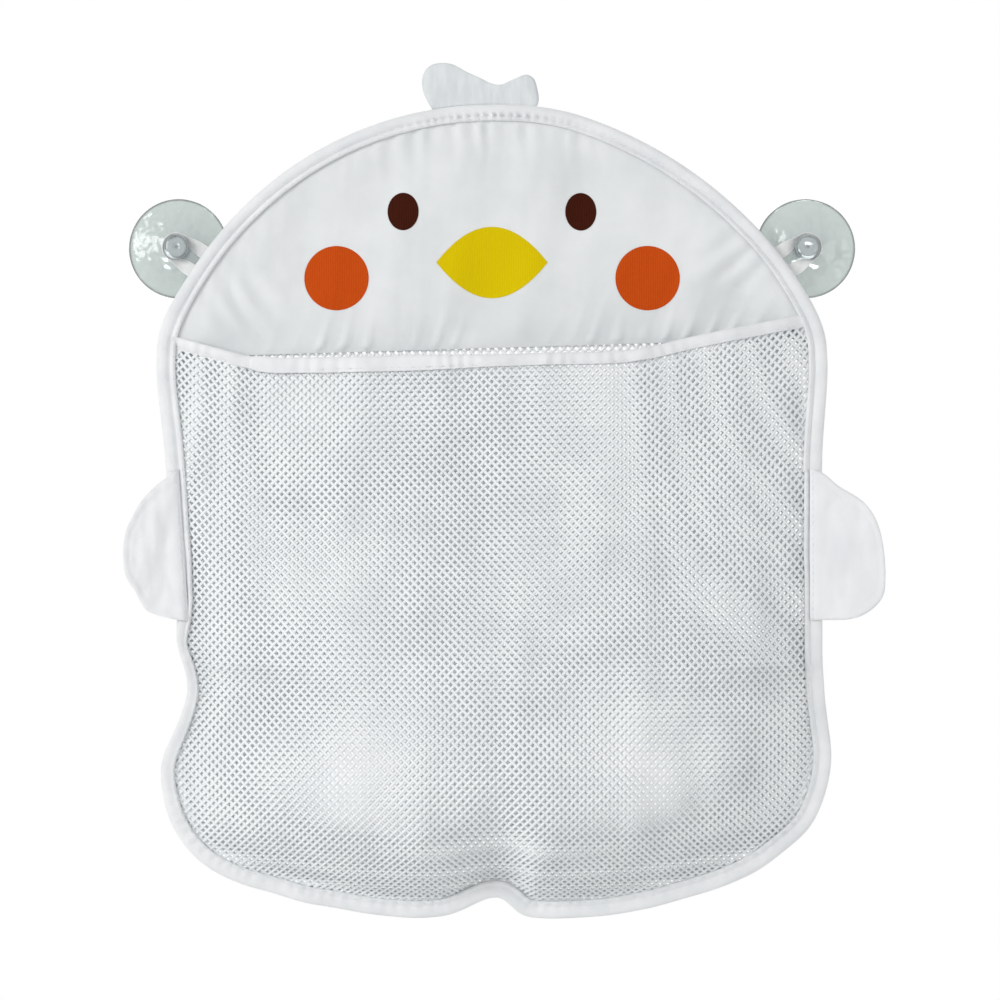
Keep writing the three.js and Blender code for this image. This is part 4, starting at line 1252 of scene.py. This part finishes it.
def felt_finish():
    """Brushed felt: upright fibres, pale blue-grey in upright streaks, without gloss."""
    def combed_place(tree):
        return add_node(tree, "ShaderNodeMapping", {
            "Vector": object_place(tree), "Scale": (1.0, 1.0, 0.22),
        }).outputs["Vector"]

    material, tree, shader, place = mottled_finish(
        "tuft_felt", combed_place, 420, (0.615, 0.645, 0.66), (0.685, 0.715, 0.725),
        Roughness=0.95, Sheen_Weight=0.2, Sheen_Roughness=0.6)
    raise_grain(tree, shader, place, scale=1500, distance=0.00007, detail=4.0)
    return material


def crest_z(x):
    """Height of the outer edge of the dome above a width."""
    return DOME_Z + np.sqrt((DOME_RADIUS + TUFT_LIFT) ** 2 - x ** 2)


def felt_half(share):
    """Half the felt's thickness, rounded off at its rim."""
    rounded = np.sqrt(np.clip(1 - share ** TUFT_ROUNDNESS, 0, 1))
    return TUFT_HALF * (TUFT_RIM_SHARE + (1 - TUFT_RIM_SHARE) * rounded)


def tuft_y(x, z):
    """Place of the middle of the felt from front to back, slightly warped above its base."""
    return BAG_Y + layered(x, z, TUFT_WARP) * ease(0.0, 0.012, z - crest_z(x))


tuft_curve = smooth_through(TUFT_RIM, TUFT_RIM_STEPS, closed=False)
tuft_base = np.linspace(TUFT_RIM[-1][0], TUFT_RIM[0][0], TUFT_BASE_STEPS)[1:-1]
lobes_z = DOME_Z + DOME_RADIUS + tuft_curve[:, 1]
tuft_rim = np.stack([
    np.concatenate([tuft_curve[:, 0], tuft_base]),
    np.concatenate([np.maximum(lobes_z, crest_z(tuft_curve[:, 0])), crest_z(tuft_base)]),
], -1)
TUFT_CENTRE = (-0.0040, DOME_Z + DOME_RADIUS + 0.0052)
tuft = disc_shell(
    "felt_tuft", tuft_rim, TUFT_CENTRE, TUFT_RINGS, tuft_y, felt_half, felt_finish(), crease=80)
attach(tuft, "tuft")
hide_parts("tuft")

# Ribbon loops
# White satin ribbon doubled round the neck of each suction cup. Its two strands lie flat and side by
# side where their ends are sewn behind the binding, and lean on edge where they grip the neck.
RIBBON_WIDTH = 0.0060
RIBBON_NECK_WIDTH = 0.0036
RIBBON_THICKNESS = 0.00034
RIBBON_TAIL = 0.0050
STRAND_OFFSET = 0.0050
STRANDS_ACROSS = 2.05
NECK_TURN_RADIUS = 0.0055
NECK_LEAN = math.radians(56)
RIBBON_Y = -0.0092
TAIL_Y = -0.0097
STRAND_STEPS = 26
RIBBON_BOW = 0.0003
# Rows of tacks: how far from the ribbon's ends, half as long, and before or behind its tail
TACK_ROWS = (0.0015, 0.0032)
TACK_HALF = 0.0078
TACK_DEPTHS = (-0.00045, 0.00035)


def satin_finish():
    """Satin ribbon: smooth lengthwise floats with a soft gloss, and a fine edge."""
    material, tree, shader, place = mottled_finish(
        "satin_ribbon", cloth_place, 120, (0.74, 0.75, 0.75), (0.84, 0.845, 0.84),
        Roughness=0.35, Sheen_Weight=0.3, Anisotropic=0.5)
    raise_surface(tree, shader, threads(tree, place, 0.00030, "Y", distortion=1.0), 0.00004)
    return material


def ribbon_loop(side):
    """One loop of ribbon with the stitches that hold its ends."""
    out = -1 if side == "left" else 1
    cup = np.array([out * CUP_X, 0.0])
    inward = unit(np.array([0.0, DOME_Z]) - cup)
    across = np.array([-inward[1], inward[0]])
    length = LOOP_REACH + RIBBON_TAIL
    strand = np.linspace(0, 1, STRAND_STEPS)
    along = length * (1 - strand)
    apart = STRAND_OFFSET + (NECK_TURN_RADIUS - STRAND_OFFSET) * ease(0.35, 1.0, strand)
    turn = np.linspace(0, math.pi, STRAND_STEPS)[1:-1]
    run = np.concatenate([along, -NECK_TURN_RADIUS * np.sin(turn), along[::-1]])
    offset = np.concatenate([apart, NECK_TURN_RADIUS * np.cos(turn), -apart[::-1]])
    twist = NECK_LEAN * ease(0.45, 1.0, strand)
    twist = np.concatenate([twist, np.full(len(turn), NECK_LEAN), twist[::-1]])
    sag = np.concatenate([strand, np.ones(len(turn)), strand[::-1]])
    flat = cup + run[:, None] * inward + offset[:, None] * across
    y = TAIL_Y + (RIBBON_Y - TAIL_Y) * ease(0.2, 0.9, sag)
    points = np.stack([flat[:, 0], y, flat[:, 1]], -1)
    tangent = unit(np.gradient(points, axis=0))
    beside = unit(np.cross(tangent, (0.0, 1.0, 0.0)))
    behind = np.cross(beside, tangent)
    wide = np.cos(twist)[:, None] * beside + np.sin(twist)[:, None] * behind
    thin = np.cross(tangent, wide)
    width = RIBBON_WIDTH + (RIBBON_NECK_WIDTH - RIBBON_WIDTH) * twist / NECK_LEAN
    spread = np.linspace(-0.5, 0.5, 5)
    section = [(u, -0.5) for u in spread] + [(u, 0.5) for u in spread[::-1]]
    rings = np.stack([
        points + wide * (u * width)[:, None]
        + thin * (v * RIBBON_THICKNESS + RIBBON_BOW * (1 - (2 * u) ** 2))
        for u, v in section
    ], axis=1)
    lengths = lengths_along(points)
    ribbon = swept_tape(f"{side}_ribbon", rings, lengths, satin)
    rows = []
    for tack in TACK_ROWS:
        ends = [cup + (length - tack) * inward + a * across for a in (-TACK_HALF, TACK_HALF)]
        for depth in TACK_DEPTHS:
            rows.append(np.array([(e[0], TAIL_Y + depth, e[1]) for e in ends]))
    tacks = sewn_rows(f"{side}_ribbon_stitches", rows)
    for piece in (ribbon, tacks):
        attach(piece, f"{side}_loop")
    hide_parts(f"{side}_loop")
    flat = (RIBBON_WIDTH * STRANDS_ACROSS, float(lengths[-1]) / 2)


satin = satin_finish()
for side in ("left", "right"):
    ribbon_loop(side)

# Suction cups
# Clear soft vinyl with a faint green-grey tint, moulded in one piece: a thin hollow disc with a sealing
# rim against the wall, a short neck for the loop and a rounded nub with a dimple.
CUP_SIDES = 96
# Radius and distance from the wall, from the middle of the hollow over the rim to the dimple
CUP_HOLLOW = [(0.0, 0.0028), (0.0072, 0.0025), (0.0133, 0.0016), (0.0174, 0.0008), (0.0205, 0.0)]
CUP_DISC = [(0.0224, 0.0), (0.0225, 0.0004), (0.0224, 0.0009), (0.0220, 0.0010), (0.0214, 0.0009),
            (0.0170, 0.0022), (0.0115, 0.0041), (0.0068, 0.0061)]
CUP_NECK = [(0.0045, 0.0070), (0.0040, 0.0078), (0.0040, 0.0106), (0.0043, 0.0111)]
CUP_NUB = [(0.0052, 0.0117), (0.0055, 0.0126), (0.0054, 0.0138), (0.0047, 0.0149), (0.0034, 0.0154),
           (0.0019, 0.01535), (0.0012, 0.0150), (0.0, 0.0148)]
CUP_STEPS = [(CUP_HOLLOW, 4), (CUP_DISC, 4), (CUP_NECK, 3), (CUP_NUB, 4)]
# Tint at shares of the cup's radius, with painted shade that darkens the dimple, a ring at the nub's edge
# and the rim
CUP_TINT_AND_PAINTED_SHADE = [(0.0, (0.20, 0.23, 0.23)), (1.0, (0.16, 0.18, 0.18)), (0.05, (0.50, 0.54, 0.55)),
             (0.17, (0.50, 0.55, 0.56)), (0.225, (0.20, 0.225, 0.235)), (0.265, (0.60, 0.66, 0.645)),
             (0.95, (0.66, 0.725, 0.70)), (0.985, (0.30, 0.33, 0.33))]


def vinyl_finish():
    """Clear soft vinyl: see-through with a grey-green tint, a little cloudy and scuffed, with painted
    shade in the dimple, round the nub's edge and at the rim.
    """
    material, tree, shader = new_finish(
        "clear_vinyl", Transmission_Weight=0.62, IOR=1.46, Specular_IOR_Level=0.35)
    place = object_place(tree)
    axes = add_node(tree, "ShaderNodeSeparateXYZ", {"Vector": place}).outputs
    across = maths(tree, "SUBTRACT", maths(tree, "ABSOLUTE", axes["X"]), CUP_X)
    spoke = add_node(tree, "ShaderNodeCombineXYZ", {"X": across, "Z": axes["Z"]})
    radius = add_node(tree, "ShaderNodeVectorMath", {0: spoke.outputs[0]}, operation="LENGTH")
    share = maths(tree, "DIVIDE", radius.outputs["Value"], CUP_DISC[1][0])
    # The colour steps paint shade into the dimple, a ring round the nub and the rim.
    tree.links.new(colour_steps(tree, share, CUP_TINT_AND_PAINTED_SHADE), shader.inputs["Base Color"])
    scuffs = uneven(tree, place, scale=260, detail=5.0)
    rough = add_node(tree, "ShaderNodeMapRange", {
        "Value": scuffs, "From Min": 0.3, "From Max": 0.75, "To Min": 0.07, "To Max": 0.15,
    })
    tree.links.new(rough.outputs[0], shader.inputs["Roughness"])
    raise_grain(tree, shader, place, scale=150, distance=0.0016, detail=1.0)
    return material


def suction_cup(side, material):
    """One cup, turned round its axis from its profile."""
    out = -1 if side == "left" else 1
    profile = np.vstack([smooth_through(points, steps, closed=False) for points, steps in CUP_STEPS])
    profile[:, 0] = np.maximum(profile[:, 0], 0)
    rings = profile[1:-1]
    vertices = [(out * CUP_X, -profile[0, 1], 0.0), (out * CUP_X, -profile[-1, 1], 0.0)]
    for radius, height in rings:
        vertices.extend((out * CUP_X + x, -height, z) for x, z in radius * circle(CUP_SIDES))
    last = 2 + (len(rings) - 1) * CUP_SIDES
    faces = ring_quads(len(rings), CUP_SIDES, 2)
    faces += ring_fan(CUP_SIDES, 2, 0) + ring_fan(CUP_SIDES, last, 1)
    cup = closed_piece(f"{side}_suction_cup", vertices, faces, material, crease=50)
    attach(cup, f"{side}_cup")
    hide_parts(f"{side}_cup")


vinyl = vinyl_finish()
for side in ("left", "right"):
    suction_cup(side, vinyl)

# Floor, light and camera
# A plain pale floor well below the bag, a large soft light at the left and a little above, a weak one at
# the right and one behind. The background is white, and the camera looks straight at the bag.
FLOOR_Z = -0.52
FLOOR_HALF = 0.55
VIEW_WIDTH = 0.450
VIEW_CENTRE = (0.0036, -0.11385)
VIEW_DISTANCE = 1.65
SENSOR_WIDTH = 36.0
FLOOR_LIFT = 0.25
AMBIENT = 0.62


def looked_at(tree):
    """1 where a surface is seen straight, mirrored or through clear plastic, and 0 for other light."""
    path = add_node(tree, "ShaderNodeLightPath").outputs
    seen = path["Is Camera Ray"]
    for other in ("Is Glossy Ray", "Is Transmission Ray"):
        seen = maths(tree, "MAXIMUM", seen, path[other])
    return seen


def floor_finish():
    """Pale matt floor that still takes shadows, lifted towards white where it is looked at."""
    material, tree, shader, _ = mottled_finish(
        "pale_floor", object_place, 6, (0.84, 0.84, 0.84), (0.88, 0.88, 0.88),
        Roughness=0.9, Emission_Color=(1, 1, 1, 1))
    lift = maths(tree, "MULTIPLY", looked_at(tree), FLOOR_LIFT)
    tree.links.new(lift, shader.inputs["Emission Strength"])
    return material


corners = [(x * FLOOR_HALF, y * FLOOR_HALF, FLOOR_Z) for x, y in ((-1, -1), (1, -1), (1, 1), (-1, 1))]
floor_mesh = bpy.data.meshes.new("floor")
floor_mesh.from_pydata(corners, [], [(0, 1, 2, 3)])
floor_mesh.materials.append(floor_finish())
floor = bpy.data.objects.new("floor", floor_mesh)
scene.collection.objects.link(floor)

world = bpy.data.worlds.new("white_room")
scene.world = world
world.use_nodes = True
sky = world.node_tree
strength = add_node(sky, "ShaderNodeMapRange", {
    "Value": looked_at(sky), "To Min": AMBIENT, "To Max": 1.0,
})
background = sky.nodes["Background"]
background.inputs["Color"].default_value = (1, 1, 1, 1)
sky.links.new(strength.outputs[0], background.inputs["Strength"])


def soft_light(name, place, aim, size, power):
    """A square area light that faces a point."""
    lamp = bpy.data.lights.new(name, "AREA")
    lamp.shape = "SQUARE"
    lamp.size = size
    lamp.energy = power
    light = bpy.data.objects.new(name, lamp)
    light.location = place
    light.rotation_euler = (Vector(aim) - Vector(place)).to_track_quat("-Z", "Y").to_euler()
    scene.collection.objects.link(light)


BAG_MIDDLE = (0.0, -0.03, -0.12)
soft_light("key_light", (-1.65, -1.40, 0.45), BAG_MIDDLE, 0.95, 26.0)
soft_light("fill_light", (1.40, -0.80, -0.05), BAG_MIDDLE, 0.9, 5.0)
soft_light("back_light", (0.25, 1.20, 0.70), BAG_MIDDLE, 0.9, 10.0)

view = bpy.data.cameras.new("camera")
view.sensor_width = SENSOR_WIDTH
view.lens = SENSOR_WIDTH * VIEW_DISTANCE / VIEW_WIDTH
camera = bpy.data.objects.new("camera", view)
camera.location = (VIEW_CENTRE[0], BAG_Y - VIEW_DISTANCE, VIEW_CENTRE[1])
camera.rotation_euler = (math.pi / 2, 0, 0)
scene.collection.objects.link(camera)
scene.camera = camera
